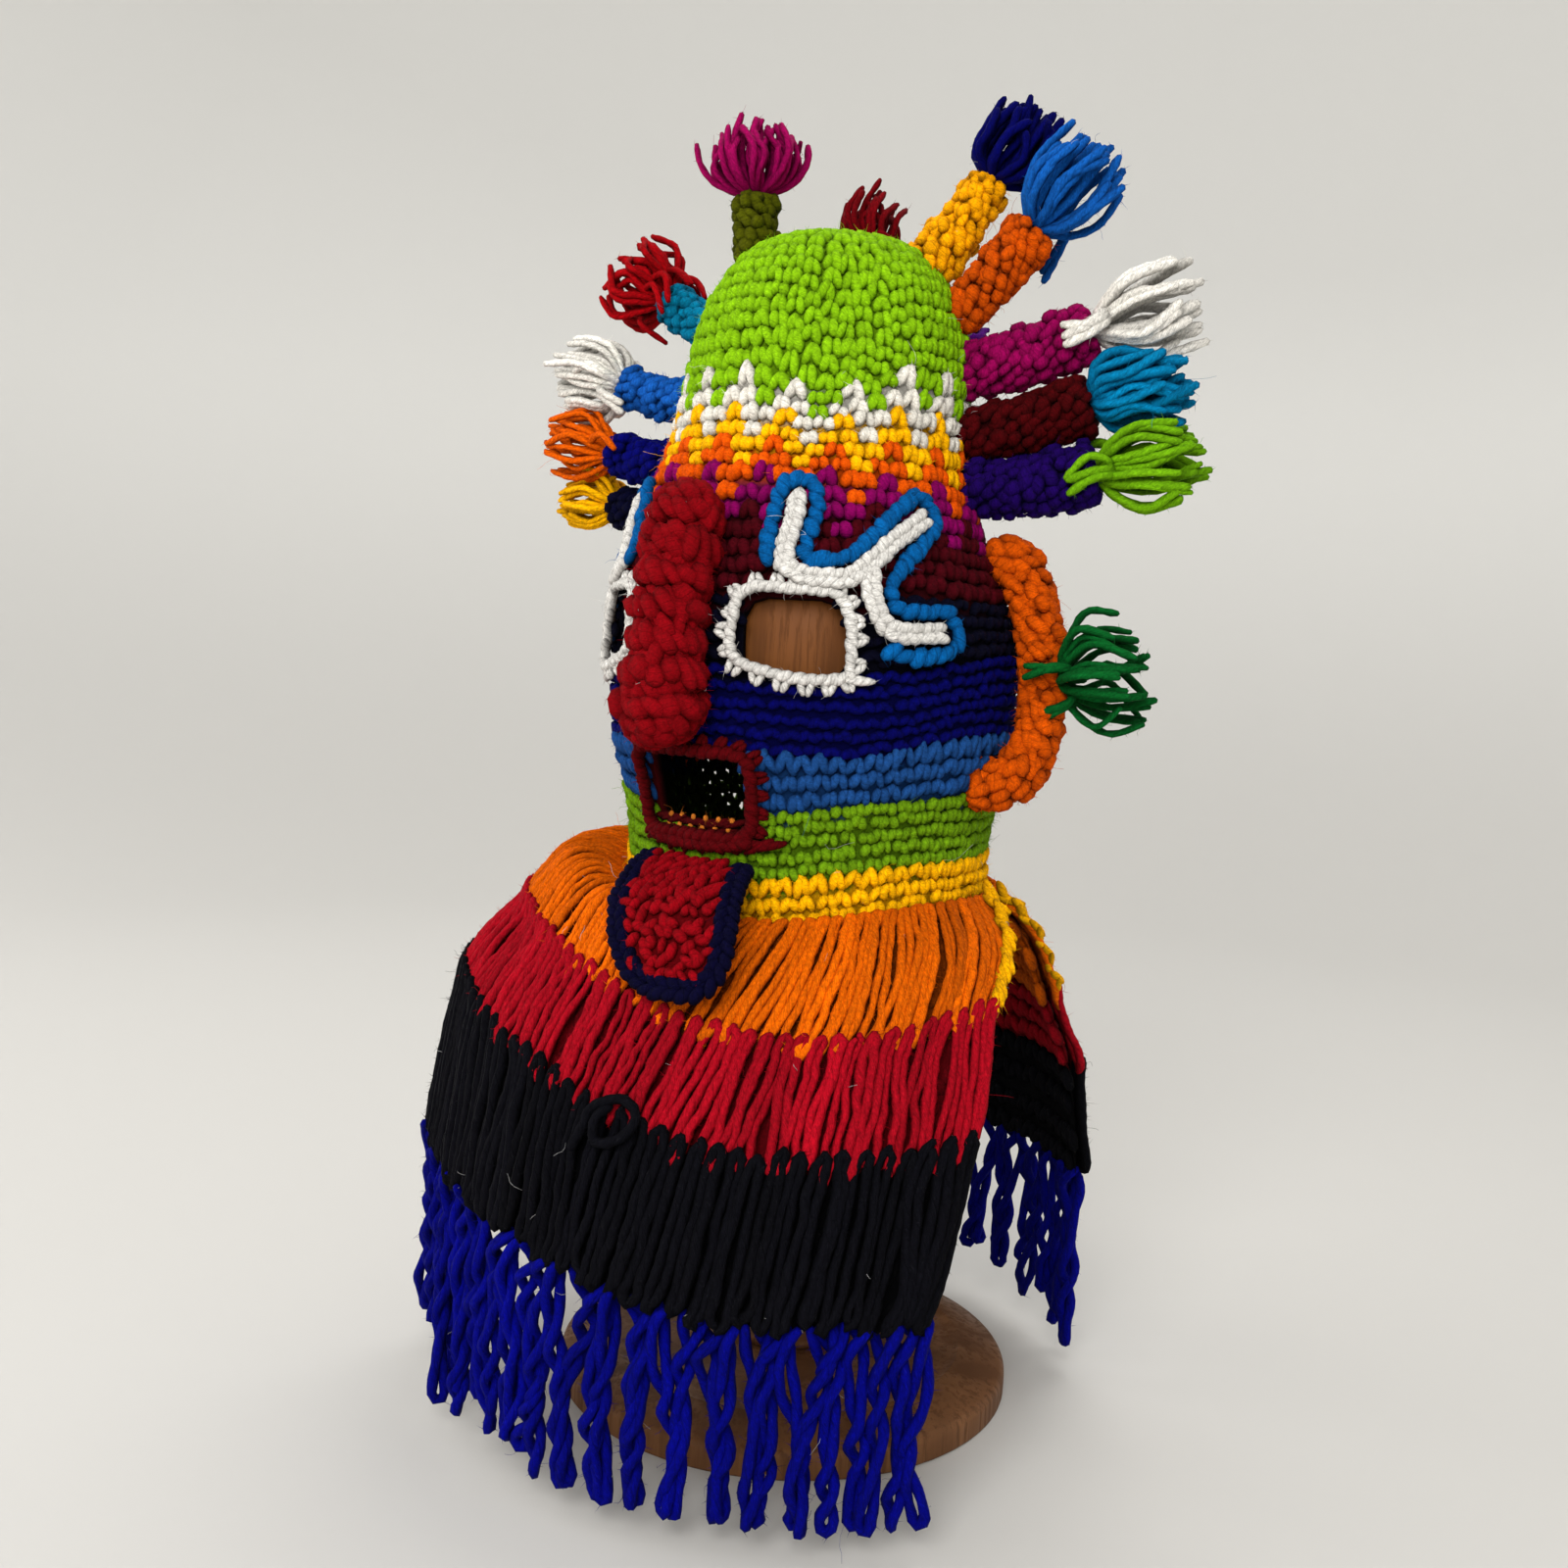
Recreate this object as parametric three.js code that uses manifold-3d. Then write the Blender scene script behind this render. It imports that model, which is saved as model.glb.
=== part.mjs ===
// A crocheted aya huma mask on its wooden stand: a striped wool hood with a stuffed nose, two eye
// openings under branched lashes, an open mouth with a tongue, two ear hoops, twelve stuffed horns with
// yarn tufts in a crest from ear to ear, and a loop collar in two flaps that end in twisted fringes.
// Millimetres, +Z up, the face looks along -Y, and the origin is the middle of the foot's underside.
// An azimuth is counted in degrees from the middle of the face towards the wearer's left, which is +X.
import * as THREE from "three";
import { mergeVertices } from "three/addons/utils/BufferGeometryUtils.js";
import Module from "manifold-3d";

// Stand, turned from wood
const FOOT_RADIUS = 105;
const FOOT_HEIGHT = 18;
const POST_RADIUS = 13;
const BLOCK_BOTTOM = 302;
const BLOCK_TOP = 482;
const BLOCK_CLEARANCE = 1.5;

// Hood, radius and height of its outside from the neck to the crown
const HOOD_OUTLINE = [
  [82, 228], [82, 260], [86, 282], [91, 300], [93, 329], [91, 352], [83, 376],
  [74, 402], [66.5, 428], [64, 452], [61.5, 476], [52, 501], [34, 519], [0, 527],
];
const HOOD_WALL = 7;
const BROW = { forward: 9, height: 405, spread: 45 };
const CROWN_DENT = { depth: 7, azimuth: 49, height: 488, width: 20, spread: 24 };

// Face
const EYE = { azimuth: 33.5, height: 347, wide: 44, tall: 33, corner: 9 };
const EYE_RIM_THICKNESS = 4.6;
const EYE_PICOTS = 18;
const MOUTH = { azimuth: 4.5, height: 278.5, wide: 52, tall: 35, corner: 8 };
const MOUTH_RIM_THICKNESS = 6.4;
const NOSE = { azimuth: 4, top: 401, middle: 352, bottom: 305, radius: 14.5, bulb: 16.5, bumps: 9 };
const TONGUE = { wide: 58, thick: 7, border: 4 };
const LASH = { width: 10, thick: 2.4, border: 6.4, backing: 3.2, out: 1.8 };

// Ears
const EAR_RADIUS = 10.5;
const EAR_TUFT = { azimuth: 101, share: 0.5, brush: [34, 18] };

// Collar, as the radius and height of its middle surface at the neck, in the orange, and at the lower
// edges of the orange, red and black bands: over the wearer's right shoulder and over the left one
const COLLAR_RIGHT = [[85, 239], [106, 245], [127, 221], [152, 188], [164, 122]];
const COLLAR_LEFT = [[85, 236], [107, 214], [125, 184], [148, 145], [163, 91]];
const COLLAR_BACK = [[85, 236], [103, 216], [115, 186], [130, 148], [138, 98]];
const COLLAR_FRONT_SPREAD = [107, 92, 77, 67, 58];
const COLLAR_BACK_SPREAD = [68, 62, 56, 51, 46];
const COLLAR_THICKNESS = 8;
// Between two azimuths the front goes over from one section to the other, it rises on the left shoulder
// and drops under the chin, by a share for each of the section's five heights
const COLLAR_TURN = { from: -45, to: 37 };
const SHOULDER_RISE = { high: 13, from: 37, over: 38, shares: [0, 0.5, 1, 0.85, 0.5] };
const NECK_DROP = { deep: 9, from: 15, to: 85, shares: [1, 0.35, 0, 0, 0] };
const BAND_LIP = 2.5;
const FRINGE = { strand: 3.3, header: 7, lowest: 12 };

// Crest, one row for each horn from the wearer's left over the crown to the right: azimuth of its foot
// and how far it turns aside, height of the foot, reach away from the axis and rise, radius at the foot
// and at the tip, and length and spread of its tuft
const HORNS = [
  { azimuth: 113, height: 415, go: [56, 8], radii: [12, 14.8], brush: [40, 19] },
  { azimuth: 113, height: 438, go: [55, 15], radii: [10.6, 14.4], brush: [39, 15] },
  { azimuth: 113, height: 466, go: [54, 18], radii: [12.4, 13.8], brush: [42, 19] },
  { azimuth: 110, height: 489, go: [32, 38], radii: [9.8, 12], brush: [38, 18] },
  { azimuth: 118, height: 514, go: [26, 37], radii: [13, 9], brush: [33, 16] },
  { azimuth: 176, turn: 20, height: 494, go: [52, 6], radii: [12, 10.5], brush: [38, 18] },
  { azimuth: -155, height: 503, go: [8, 30], radii: [11, 10], brush: [27, 15] },
  { azimuth: -90, height: 505, go: [2, 47], radii: [10, 11], brush: [31, 20] },
  { azimuth: -86, height: 484, go: [39, 23], radii: [9.6, 10], brush: [31, 18] },
  { azimuth: -82, height: 455, go: [52, 10], radii: [11, 10.5], brush: [38, 20] },
  { azimuth: -82, height: 426, go: [50, 6], radii: [11, 10.8], brush: [38, 16] },
  { azimuth: -87, height: 403, go: [47, 5], radii: [10, 10.5], brush: [28, 16] },
];
// The yarn of each horn and of its tuft
const HORN_YARNS = [
  [0x3a0f6e, 0x5fa822], [0x4a0d16, 0x0f86a8], [0x8f1260, 0xe9e4da], [0xd9640c, 0x3b86d8],
  [0xf0a60c, 0x10156e], [0xa3b31c, 0x5a1680], [0x2f7d2c, 0x7c1420], [0x5f6420, 0xa01468],
  [0x1193a8, 0xa50f1d], [0x2a62b8, 0xe9e4da], [0x10157a, 0xdd6a10], [0x0f1038, 0xe8b010],
];
const TUFT_POINTS = 5;

// Sewn pieces keep this gap to what carries them, and turned or crocheted ones have these sides
const GAP = 0.4;
const HOOD_SIDES = 30;
const HOOD_ROWS = 13;

const YARN = {
  red: 0xa8121f, crimson: 0xb3142c, burgundy: 0x5a0a18, white: 0xe9e4da, lashBlue: 0x1470b4,
  navy: 0x14143a, orange: 0xe4620c, tuftGreen: 0x0f6332, fringeBlue: 0x0510a0, hoodBlue: 0x0f1590,
};

const wasm = await Module();
wasm.setup();

// A closed geometry as a solid, for joining and cutting.
function solidFrom(geometry) {
  const bare = new THREE.BufferGeometry();
  bare.setAttribute("position", geometry.getAttribute("position"));
  bare.setIndex(geometry.getIndex());
  const merged = mergeVertices(bare, 1e-3);
  const corners = [];
  const index = merged.getIndex().array;
  for (let i = 0; i < index.length; i += 3) {
    const [a, b, c] = index.subarray(i, i + 3);
    if (a !== b && b !== c && c !== a) corners.push(a, b, c);
  }
  return new wasm.Manifold(
    new wasm.Mesh({
      numProp: 3,
      vertProperties: merged.getAttribute("position").array,
      triVerts: new Uint32Array(corners),
    }),
  );
}

function geometryFrom(solid) {
  const made = solid.getMesh();
  const geometry = new THREE.BufferGeometry();
  geometry.setAttribute("position", new THREE.BufferAttribute(made.vertProperties, 3));
  geometry.setIndex(new THREE.BufferAttribute(made.triVerts, 1));
  return geometry;
}

function joined(solids) {
  return solids.reduce((sum, next) => sum.add(next));
}

// Moves every vertex of a geometry to where the rule puts it.
function bent(geometry, rule) {
  const position = geometry.getAttribute("position");
  const point = new THREE.Vector3();
  for (let i = 0; i < position.count; i++) {
    rule(point.fromBufferAttribute(position, i), i);
    position.setXYZ(i, point.x, point.y, point.z);
  }
  return geometry;
}

const mask = new THREE.Group();

function addPiece(name, solid, color, roughness = 0.95) {
  const material = new THREE.MeshStandardMaterial({ color, roughness, metalness: 0, flatShading: true });
  const mesh = new THREE.Mesh(geometryFrom(solid), material);
  mesh.name = name;
  mask.add(mesh);
}

const radians = THREE.MathUtils.degToRad;
const bell = (offset, spread) => Math.exp(-((offset / spread) ** 2));

// The hood leans out over the brow and is dented where the crown sags.
function settle(point) {
  const azimuth = THREE.MathUtils.radToDeg(Math.atan2(point.x, -point.y));
  const dent =
    CROWN_DENT.depth *
    bell(azimuth - CROWN_DENT.azimuth, CROWN_DENT.width) *
    bell(point.z - CROWN_DENT.height, CROWN_DENT.spread);
  const radius = Math.hypot(point.x, point.y);
  if (radius > dent) {
    point.x *= 1 - dent / radius;
    point.y *= 1 - dent / radius;
  }
  point.y -= BROW.forward * bell(point.z - BROW.height, BROW.spread);
  return point;
}

// Rows of the hood's outside, from the neck up, and the same rows moved in by a distance.
const hoodCurve = new THREE.SplineCurve(HOOD_OUTLINE.map(([r, z]) => new THREE.Vector2(r, z)));
const hoodRows = hoodCurve.getSpacedPoints(HOOD_ROWS);

function movedIn(distance) {
  return hoodRows.map((row, i) => {
    const along = hoodCurve.getTangentAt(i / HOOD_ROWS);
    const moved = new THREE.Vector2(row.x - along.y * distance, row.y + along.x * distance);
    return i === HOOD_ROWS ? new THREE.Vector2(0, row.y - distance) : moved;
  });
}

// A body turned round the Z axis from a profile of radius and height.
function turned(profile, sides) {
  return new THREE.LatheGeometry(profile, sides).rotateX(Math.PI / 2);
}

function hoodRadius(height) {
  const upper = hoodRows.findIndex((row) => row.y >= height);
  if (upper <= 0) return hoodRows[upper < 0 ? HOOD_ROWS : 0].x;
  const [low, high] = [hoodRows[upper - 1], hoodRows[upper]];
  return THREE.MathUtils.lerp(low.x, high.x, (height - low.y) / (high.y - low.y));
}

// A point at an azimuth and a height, and at a distance outside the hood.
function onHood(azimuth, height, out = 0) {
  const radius = hoodRadius(height) + out;
  const a = radians(azimuth);
  return settle(new THREE.Vector3(radius * Math.sin(a), -radius * Math.cos(a), height));
}

// A point that far along the hood's face from the middle of a feature, in millimetres.
function besideOnHood(feature, side, across, up, out) {
  const perDegree = radians(hoodRadius(feature.height));
  return onHood(side * feature.azimuth + across / perDegree, feature.height + up, out);
}

// A round body along a curve: its radius is a rule of the share of the way, and its ends are flat.
function tube(curve, radius, sides, steps) {
  const profile = [new THREE.Vector2(0, 0)];
  for (let i = 0; i <= steps; i++) profile.push(new THREE.Vector2(radius(i / steps), i));
  profile.push(new THREE.Vector2(0, steps));
  const frames = curve.computeFrenetFrames(steps);
  return solidFrom(
    bent(new THREE.LatheGeometry(profile, sides), (point) => {
      const step = Math.round(point.y);
      const [x, z] = [point.x, point.z];
      point.copy(curve.getPointAt(step / steps));
      point.addScaledVector(frames.binormals[step], x).addScaledVector(frames.normals[step], z);
    }),
  );
}

// A closed ring along a closed curve, with a radius that is a rule of the share of the way round.
function ring(curve, radius, sides, steps) {
  const frames = curve.computeFrenetFrames(steps, true);
  return solidFrom(
    bent(new THREE.TorusGeometry(1, 0.5, sides, steps), (point, index) => {
      const step = index % (steps + 1) % steps;
      const turn = (Math.floor(index / (steps + 1)) / sides) * 2 * Math.PI;
      const size = radius(step / steps);
      point.copy(curve.getPointAt(step / steps));
      point.addScaledVector(frames.normals[step], size * Math.cos(turn));
      point.addScaledVector(frames.binormals[step], -size * Math.sin(turn));
    }),
  );
}

// A rounded rectangle about the origin, as a closed outline.
function roundedRectangle({ wide, tall, corner }, grow = 0) {
  const [w, h, r] = [wide / 2 + grow, tall / 2 + grow, corner + grow];
  const shape = new THREE.Shape();
  shape.absarc(w - r, h - r, r, 0, Math.PI / 2);
  shape.absarc(r - w, h - r, r, Math.PI / 2, Math.PI);
  shape.absarc(r - w, r - h, r, Math.PI, 1.5 * Math.PI);
  shape.absarc(w - r, r - h, r, 1.5 * Math.PI, 2 * Math.PI);
  return shape.closePath();
}

// A block that cuts a feature's opening through the hood's wall, on its own side only.
function openingCutter(feature, side) {
  const geometry = new THREE.ExtrudeGeometry(roundedRectangle(feature), {
    depth: 80, bevelEnabled: false, curveSegments: 3,
  });
  const a = radians(side * feature.azimuth);
  const out = new THREE.Vector3(Math.sin(a), -Math.cos(a), 0);
  const across = new THREE.Vector3(Math.cos(a), Math.sin(a), 0);
  const place = new THREE.Matrix4().makeBasis(across, new THREE.Vector3(0, 0, 1), out);
  place.setPosition(out.multiplyScalar(50).setZ(feature.height));
  return solidFrom(geometry.applyMatrix4(place));
}

// Stand: a foot with a stepped edge, a turned post and a head-shaped block that fills the hood's top
const v2 = (x, y) => new THREE.Vector2(x, y);
const footProfile = [
  v2(0, 0), v2(FOOT_RADIUS, 0), v2(FOOT_RADIUS, 9), v2(FOOT_RADIUS - 5, 13),
  v2(FOOT_RADIUS - 28, FOOT_HEIGHT), v2(0, FOOT_HEIGHT),
];
addPiece("stand_foot", solidFrom(turned(footProfile, 28)), 0x6d3f20, 0.5);

const postBottom = FOOT_HEIGHT + GAP;
const postTop = BLOCK_BOTTOM - GAP;
const postProfile = [
  v2(0, postBottom), v2(POST_RADIUS + 11, postBottom), v2(POST_RADIUS + 11, postBottom + 8),
  v2(POST_RADIUS, postBottom + 22), v2(POST_RADIUS, 140), v2(POST_RADIUS + 5, 150), v2(POST_RADIUS, 160),
  v2(POST_RADIUS, postTop - 20), v2(POST_RADIUS + 8, postTop - 8), v2(POST_RADIUS + 8, postTop),
  v2(0, postTop),
];
addPiece("stand_post", solidFrom(turned(postProfile, 12)), 0x6d3f20, 0.5);

const blockInset = HOOD_WALL + BLOCK_CLEARANCE;
const everySecond = (rows) => rows.filter((row, i) => i % 2 === 1 || i === 0);
const blockSides = everySecond(movedIn(blockInset)).filter(
  (row) => row.y > BLOCK_BOTTOM + 6 && row.y < BLOCK_TOP - 26,
);
const lastSide = blockSides[blockSides.length - 1];
const blockProfile = [v2(0, BLOCK_BOTTOM), v2(blockSides[0].x - 6, BLOCK_BOTTOM), ...blockSides];
for (let i = 1; i <= 4; i++) {
  const turn = (i / 4) * (Math.PI / 2);
  const shoulder = BLOCK_TOP - lastSide.y;
  blockProfile.push(v2((lastSide.x - 3) * Math.cos(turn), lastSide.y + shoulder * Math.sin(turn)));
}
addPiece("stand_block", solidFrom(bent(turned(blockProfile, 24), settle)), 0x8b5a2e, 0.55);

// Hood: one wall from the neck to the crown, with the two eyes and the mouth cut through it
const lining = everySecond(movedIn(HOOD_WALL)).reverse();
const hoodWall = solidFrom(bent(turned([...lining, ...hoodRows], HOOD_SIDES), settle));
const openings = [openingCutter(EYE, 1), openingCutter(EYE, -1), openingCutter(MOUTH, 1)];
addPiece("hood", hoodWall.subtract(joined(openings)), YARN.hoodBlue);

// What is sewn on the hood is cut to its surface, which is this body.
const envelopeBottom = hoodRows[0].y - 5;
const envelopeProfile = [v2(0, envelopeBottom), v2(hoodRows[0].x + GAP, envelopeBottom), ...movedIn(-GAP)];
const hoodEnvelope = solidFrom(bent(turned(envelopeProfile, HOOD_SIDES), settle));
const cutToHood = (solid) => solid.subtract(hoodEnvelope);

// Nose: a stuffed tube with chunky rounds of stitches, down the middle of the face to a round bulb
const nosePath = new THREE.CatmullRomCurve3([
  onHood(NOSE.azimuth, NOSE.top, 6), onHood(NOSE.azimuth, NOSE.top - 14, 11),
  onHood(NOSE.azimuth, NOSE.middle, 12), onHood(NOSE.azimuth, NOSE.bottom + 18, 15),
  onHood(NOSE.azimuth, NOSE.bottom, 13),
]);
const noseRadius = (t) => {
  const body = THREE.MathUtils.lerp(NOSE.radius, NOSE.bulb, THREE.MathUtils.smoothstep(t, 0.55, 0.85));
  const ends = Math.sqrt(Math.max(0.12, 1 - Math.max(0, 1 - t / 0.07, (t - 0.88) / 0.12) ** 2));
  return body * ends * (1 - 0.06 * Math.cos(2 * Math.PI * NOSE.bumps * t));
};
addPiece("nose", cutToHood(tube(nosePath, noseRadius, 8, 2 * NOSE.bumps)), YARN.red);

// Rims: a crocheted chain round each opening, which on the eyes has a picot between every two stitches
function rimPath(feature, side, grow, out) {
  const outline = roundedRectangle(feature, grow).getSpacedPoints(24).slice(0, 24);
  const points = outline.map(({ x, y }) => besideOnHood(feature, side, x, y, out));
  return new THREE.CatmullRomCurve3(points, true);
}
const eyeRimRadius = (t) => (EYE_RIM_THICKNESS / 2) * (1 + 0.25 * Math.cos(2 * Math.PI * EYE_PICOTS * t));
for (const [side, name] of [[1, "left"], [-1, "right"]]) {
  const out = EYE_RIM_THICKNESS / 2 + 1.2;
  const path = rimPath(EYE, side, 2, out);
  addPiece("eye_rim_" + name, ring(path, eyeRimRadius, 4, 2 * EYE_PICOTS), YARN.white);
}
const mouthPath = rimPath(MOUTH, 1, 3, MOUTH_RIM_THICKNESS / 2 + 1.2);
addPiece("mouth_rim", ring(mouthPath, () => MOUTH_RIM_THICKNESS / 2, 5, 24), YARN.burgundy);

// Lashes: three prongs of white chain over each eye, with a blue border crocheted round them, as
// millimetres across and up from the eye's middle
const LASH_PRONGS = [
  [[4, 54], [-2, 45], [-1, 26], [14, 24], [31, 24]],
  [[31, 24], [46, 36], [61, 47.5]],
  [[31, 24], [38, 1], [51, 1], [63.5, 2.5]],
];

// A flat strip between two points, with half its width added at both ends.
function strip(from, to, width, thick) {
  const turn = Math.atan2(to[1] - from[1], to[0] - from[0]);
  const length = Math.hypot(to[0] - from[0], to[1] - from[1]);
  const box = new THREE.BoxGeometry(length + width, width, thick).translate(length / 2, 0, thick / 2);
  return solidFrom(box.rotateZ(turn).translate(from[0], from[1], 0));
}

function lashPlate(side, width, thick) {
  const strips = LASH_PRONGS.flatMap((prong) =>
    prong.slice(1).map((to, i) => {
      const from = prong[i];
      return strip([side * from[0], from[1]], [side * to[0], to[1]], width, thick);
    }),
  );
  return joined(strips);
}

// Lays a flat plate on the hood's face round an eye.
function laidOnFace(plate, side, out) {
  return solidFrom(
    bent(geometryFrom(plate), (point) => {
      point.copy(besideOnHood(EYE, side, point.x, point.y, out + point.z));
    }),
  );
}

for (const [side, name] of [[1, "left"], [-1, "right"]]) {
  const white = lashPlate(side, LASH.width, LASH.thick);
  const border = lashPlate(side, LASH.width + 2 * LASH.border, LASH.backing);
  const eyeRoom = new THREE.ExtrudeGeometry(roundedRectangle(EYE, 5.5), {
    depth: 20, bevelEnabled: false, curveSegments: 2,
  });
  const room = solidFrom(eyeRoom.translate(0, 0, -5));
  const borderOnFace = laidOnFace(border.subtract(room), side, LASH.out);
  addPiece("lash_border_" + name, cutToHood(borderOnFace), YARN.lashBlue);
  const over = LASH.out + LASH.backing + 4 * GAP;
  addPiece("lash_" + name, laidOnFace(white.subtract(room), side, over), YARN.white);
}

// Tongue: a thick flap from the mouth's lower rim out over the collar, with a corded edge
const tonguePath = new THREE.SplineCurve([v2(88, 251), v2(103, 245), v2(121, 232), v2(134, 208)]);

// A point on the tongue: its share down, its place across in millimetres and its depth.
function onTongue(down, across, depth) {
  const middle = tonguePath.getPointAt(down);
  const along = tonguePath.getTangentAt(down);
  const radius = middle.x - along.y * depth;
  const a = radians(THREE.MathUtils.lerp(6, 17, down)) + across / middle.x;
  return new THREE.Vector3(radius * Math.sin(a), -radius * Math.cos(a), middle.y + along.x * depth);
}

// Half the tongue's width at a share of its length, which narrows to the round end and to the root.
const tongueHalf = (down) => (TONGUE.wide / 2) * (1 - down ** 3) ** (1 / 3) * (0.84 + 0.16 * down);
const cordRoom = TONGUE.border + GAP + 0.4;
const slabShare = 1 - cordRoom / tonguePath.getLength();
const tongueSlab = bent(new THREE.BoxGeometry(1, 1, 1, 2, 6, 1), (point) => {
  const down = 0.98 * Math.sin(((0.5 - point.y) * Math.PI) / 2);
  const half = tongueHalf(down) * (1 - (2 * cordRoom) / TONGUE.wide);
  point.copy(onTongue(down * slabShare, 2 * point.x * half, point.z * TONGUE.thick));
});
const tongueEdge = [];
for (let i = 0; i <= 14; i++) {
  const turn = (i / 14) * Math.PI;
  const down = Math.abs(Math.sin(turn)) ** (2 / 3);
  tongueEdge.push(onTongue(down, -Math.sign(Math.cos(turn)) * tongueHalf(down), 0));
}
addPiece("tongue", solidFrom(tongueSlab), YARN.crimson);
const tongueCord = new THREE.CatmullRomCurve3(tongueEdge);
addPiece("tongue_border", tube(tongueCord, () => TONGUE.border, 5, 16), YARN.navy);

// Tuft: a brush of yarn that spreads from the end of a horn, with its strand ends in points
function tuft(foot, direction, [length, spread], seed) {
  const rings = [
    { reach: 0.24, along: 0 }, { reach: 0.62, along: 0.3 }, { reach: 0.8, along: 0.62 },
    { reach: 1, along: 1, split: 0.42 }, { reach: 0.4, along: 0.86, split: 0.3 },
  ];
  const profile = [v2(0, 0), ...rings.map((row, i) => v2(1, i)), v2(0, rings.length - 1)];
  const turn = new THREE.Quaternion().setFromUnitVectors(new THREE.Vector3(0, 1, 0), direction);
  const sides = 2 * TUFT_POINTS;
  const body = bent(new THREE.LatheGeometry(profile, sides), (point) => {
    const { reach, along, split = 0 } = rings[Math.round(point.y)];
    const side = Math.round((Math.atan2(point.x, point.z) / (2 * Math.PI)) * sides + sides) % sides;
    const size = side % 2 ? 1 - split : 1 - 0.5 * split * Math.abs(Math.sin(2.1 * side + seed));
    const radius = Math.hypot(point.x, point.z) * spread * reach * size;
    const angle = Math.atan2(point.x, point.z);
    const height = length * along * (radius > 0 ? size : 1);
    point.set(radius * Math.sin(angle), height, radius * Math.cos(angle)).applyQuaternion(turn).add(foot);
  });
  return solidFrom(body);
}

// Horns: stuffed crochet tubes sewn on in a crest from ear to ear over the crown, each with its tuft
HORNS.forEach(({ azimuth, turn = 0, height, go: [reach, rise], radii, brush }, i) => {
  const number = String(i + 1).padStart(2, "0");
  const foot = onHood(azimuth, height, -4);
  const away = radians(azimuth + turn);
  const tip = onHood(azimuth, height).add(
    new THREE.Vector3(Math.sin(away) * reach, -Math.cos(away) * reach, rise),
  );
  const middle = foot.clone().lerp(tip, 0.5).add(new THREE.Vector3(0, 0, -2));
  const curve = new THREE.CatmullRomCurve3([foot, middle, tip]);
  const radius = (t) => THREE.MathUtils.lerp(...radii, t) * (t === 1 ? 0.75 : 1);
  addPiece("horn_" + number, cutToHood(tube(curve, radius, 7, 3)), HORN_YARNS[i][0]);
  const direction = curve.getTangentAt(1);
  const tuftFoot = tip.clone().addScaledVector(direction, GAP);
  addPiece("tuft_" + number, tuft(tuftFoot, direction, brush, i), HORN_YARNS[i][1]);
});

// Ears: a stuffed orange hoop on each side, from above the eye's height to below the mouth's top, with a
// tuft tied round its outermost part
const EAR_PATH = [
  [112, 79, 391], [110, 94, 377], [107, 103, 352], [104, 108, 328], [100, 107, 304], [96, 98, 288],
  [92, 83, 289],
];
for (const [side, name] of [[1, "left"], [-1, "right"]]) {
  const points = EAR_PATH.map(([azimuth, radius, height]) => {
    const a = side * radians(azimuth);
    return new THREE.Vector3(radius * Math.sin(a), -radius * Math.cos(a), height);
  });
  const curve = new THREE.CatmullRomCurve3(points);
  const radius = (t) => EAR_RADIUS * (t === 0 || t === 1 ? 0.7 : 1 + 0.05 * Math.cos(22 * t));
  const hoop = cutToHood(tube(curve, radius, 8, 11));
  addPiece("ear_" + name, hoop, YARN.orange);
  const a = side * radians(EAR_TUFT.azimuth);
  const out = new THREE.Vector3(Math.sin(a), -Math.cos(a), 0.3).normalize();
  const foot = curve.getPoint(EAR_TUFT.share).addScaledVector(out, EAR_RADIUS * 1.1);
  addPiece("ear_tuft_" + name, tuft(foot, out, EAR_TUFT.brush, 5 + side), YARN.tuftGreen);
}

// Collar: two flaps of long loops in three bands, from the hood's lower edge out and down. A flap is
// wrapped from a box: across, down and through its thickness.
function collarSection(azimuth) {
  const { clamp, lerp, smoothstep } = THREE.MathUtils;
  const share = 1 - smoothstep(azimuth, COLLAR_TURN.from, COLLAR_TURN.to);
  const rise = SHOULDER_RISE.high * clamp((azimuth - SHOULDER_RISE.from) / SHOULDER_RISE.over, 0, 1) ** 2;
  const drop = NECK_DROP.deep * (1 - smoothstep(Math.abs(azimuth), NECK_DROP.from, NECK_DROP.to));
  return COLLAR_LEFT.map(([r, z], i) => {
    const [right, high] = COLLAR_RIGHT[i];
    const height = lerp(z, high, share) + rise * SHOULDER_RISE.shares[i] - drop * NECK_DROP.shares[i];
    return v2(lerp(r, right, share), height);
  });
}
const backSection = () => COLLAR_BACK.map(([r, z]) => v2(r, z));

// Below its last edge a flap hangs straight down, by this many millimetres for each whole share.
const BEYOND = 100;

// A point of a flap: its place across from -1 to 1, its share down and its distance from the middle.
function onFlap(flap, across, down, depth) {
  const last = flap.spread.length - 1;
  const share = Math.min(down, 1);
  const step = Math.min(Math.floor(share * last), last - 1);
  const half = THREE.MathUtils.lerp(flap.spread[step], flap.spread[step + 1], share * last - step);
  const azimuth = across * half;
  const section = new THREE.SplineCurve(flap.section(azimuth));
  const place = section.getPoint(share);
  const along = section.getTangent(share);
  const beyond = Math.max(0, down - 1) * BEYOND;
  const radius = place.x - along.y * depth;
  const a = radians(flap.middle + azimuth);
  return new THREE.Vector3(radius * Math.sin(a), -radius * Math.cos(a), place.y + along.x * depth - beyond);
}

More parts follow.
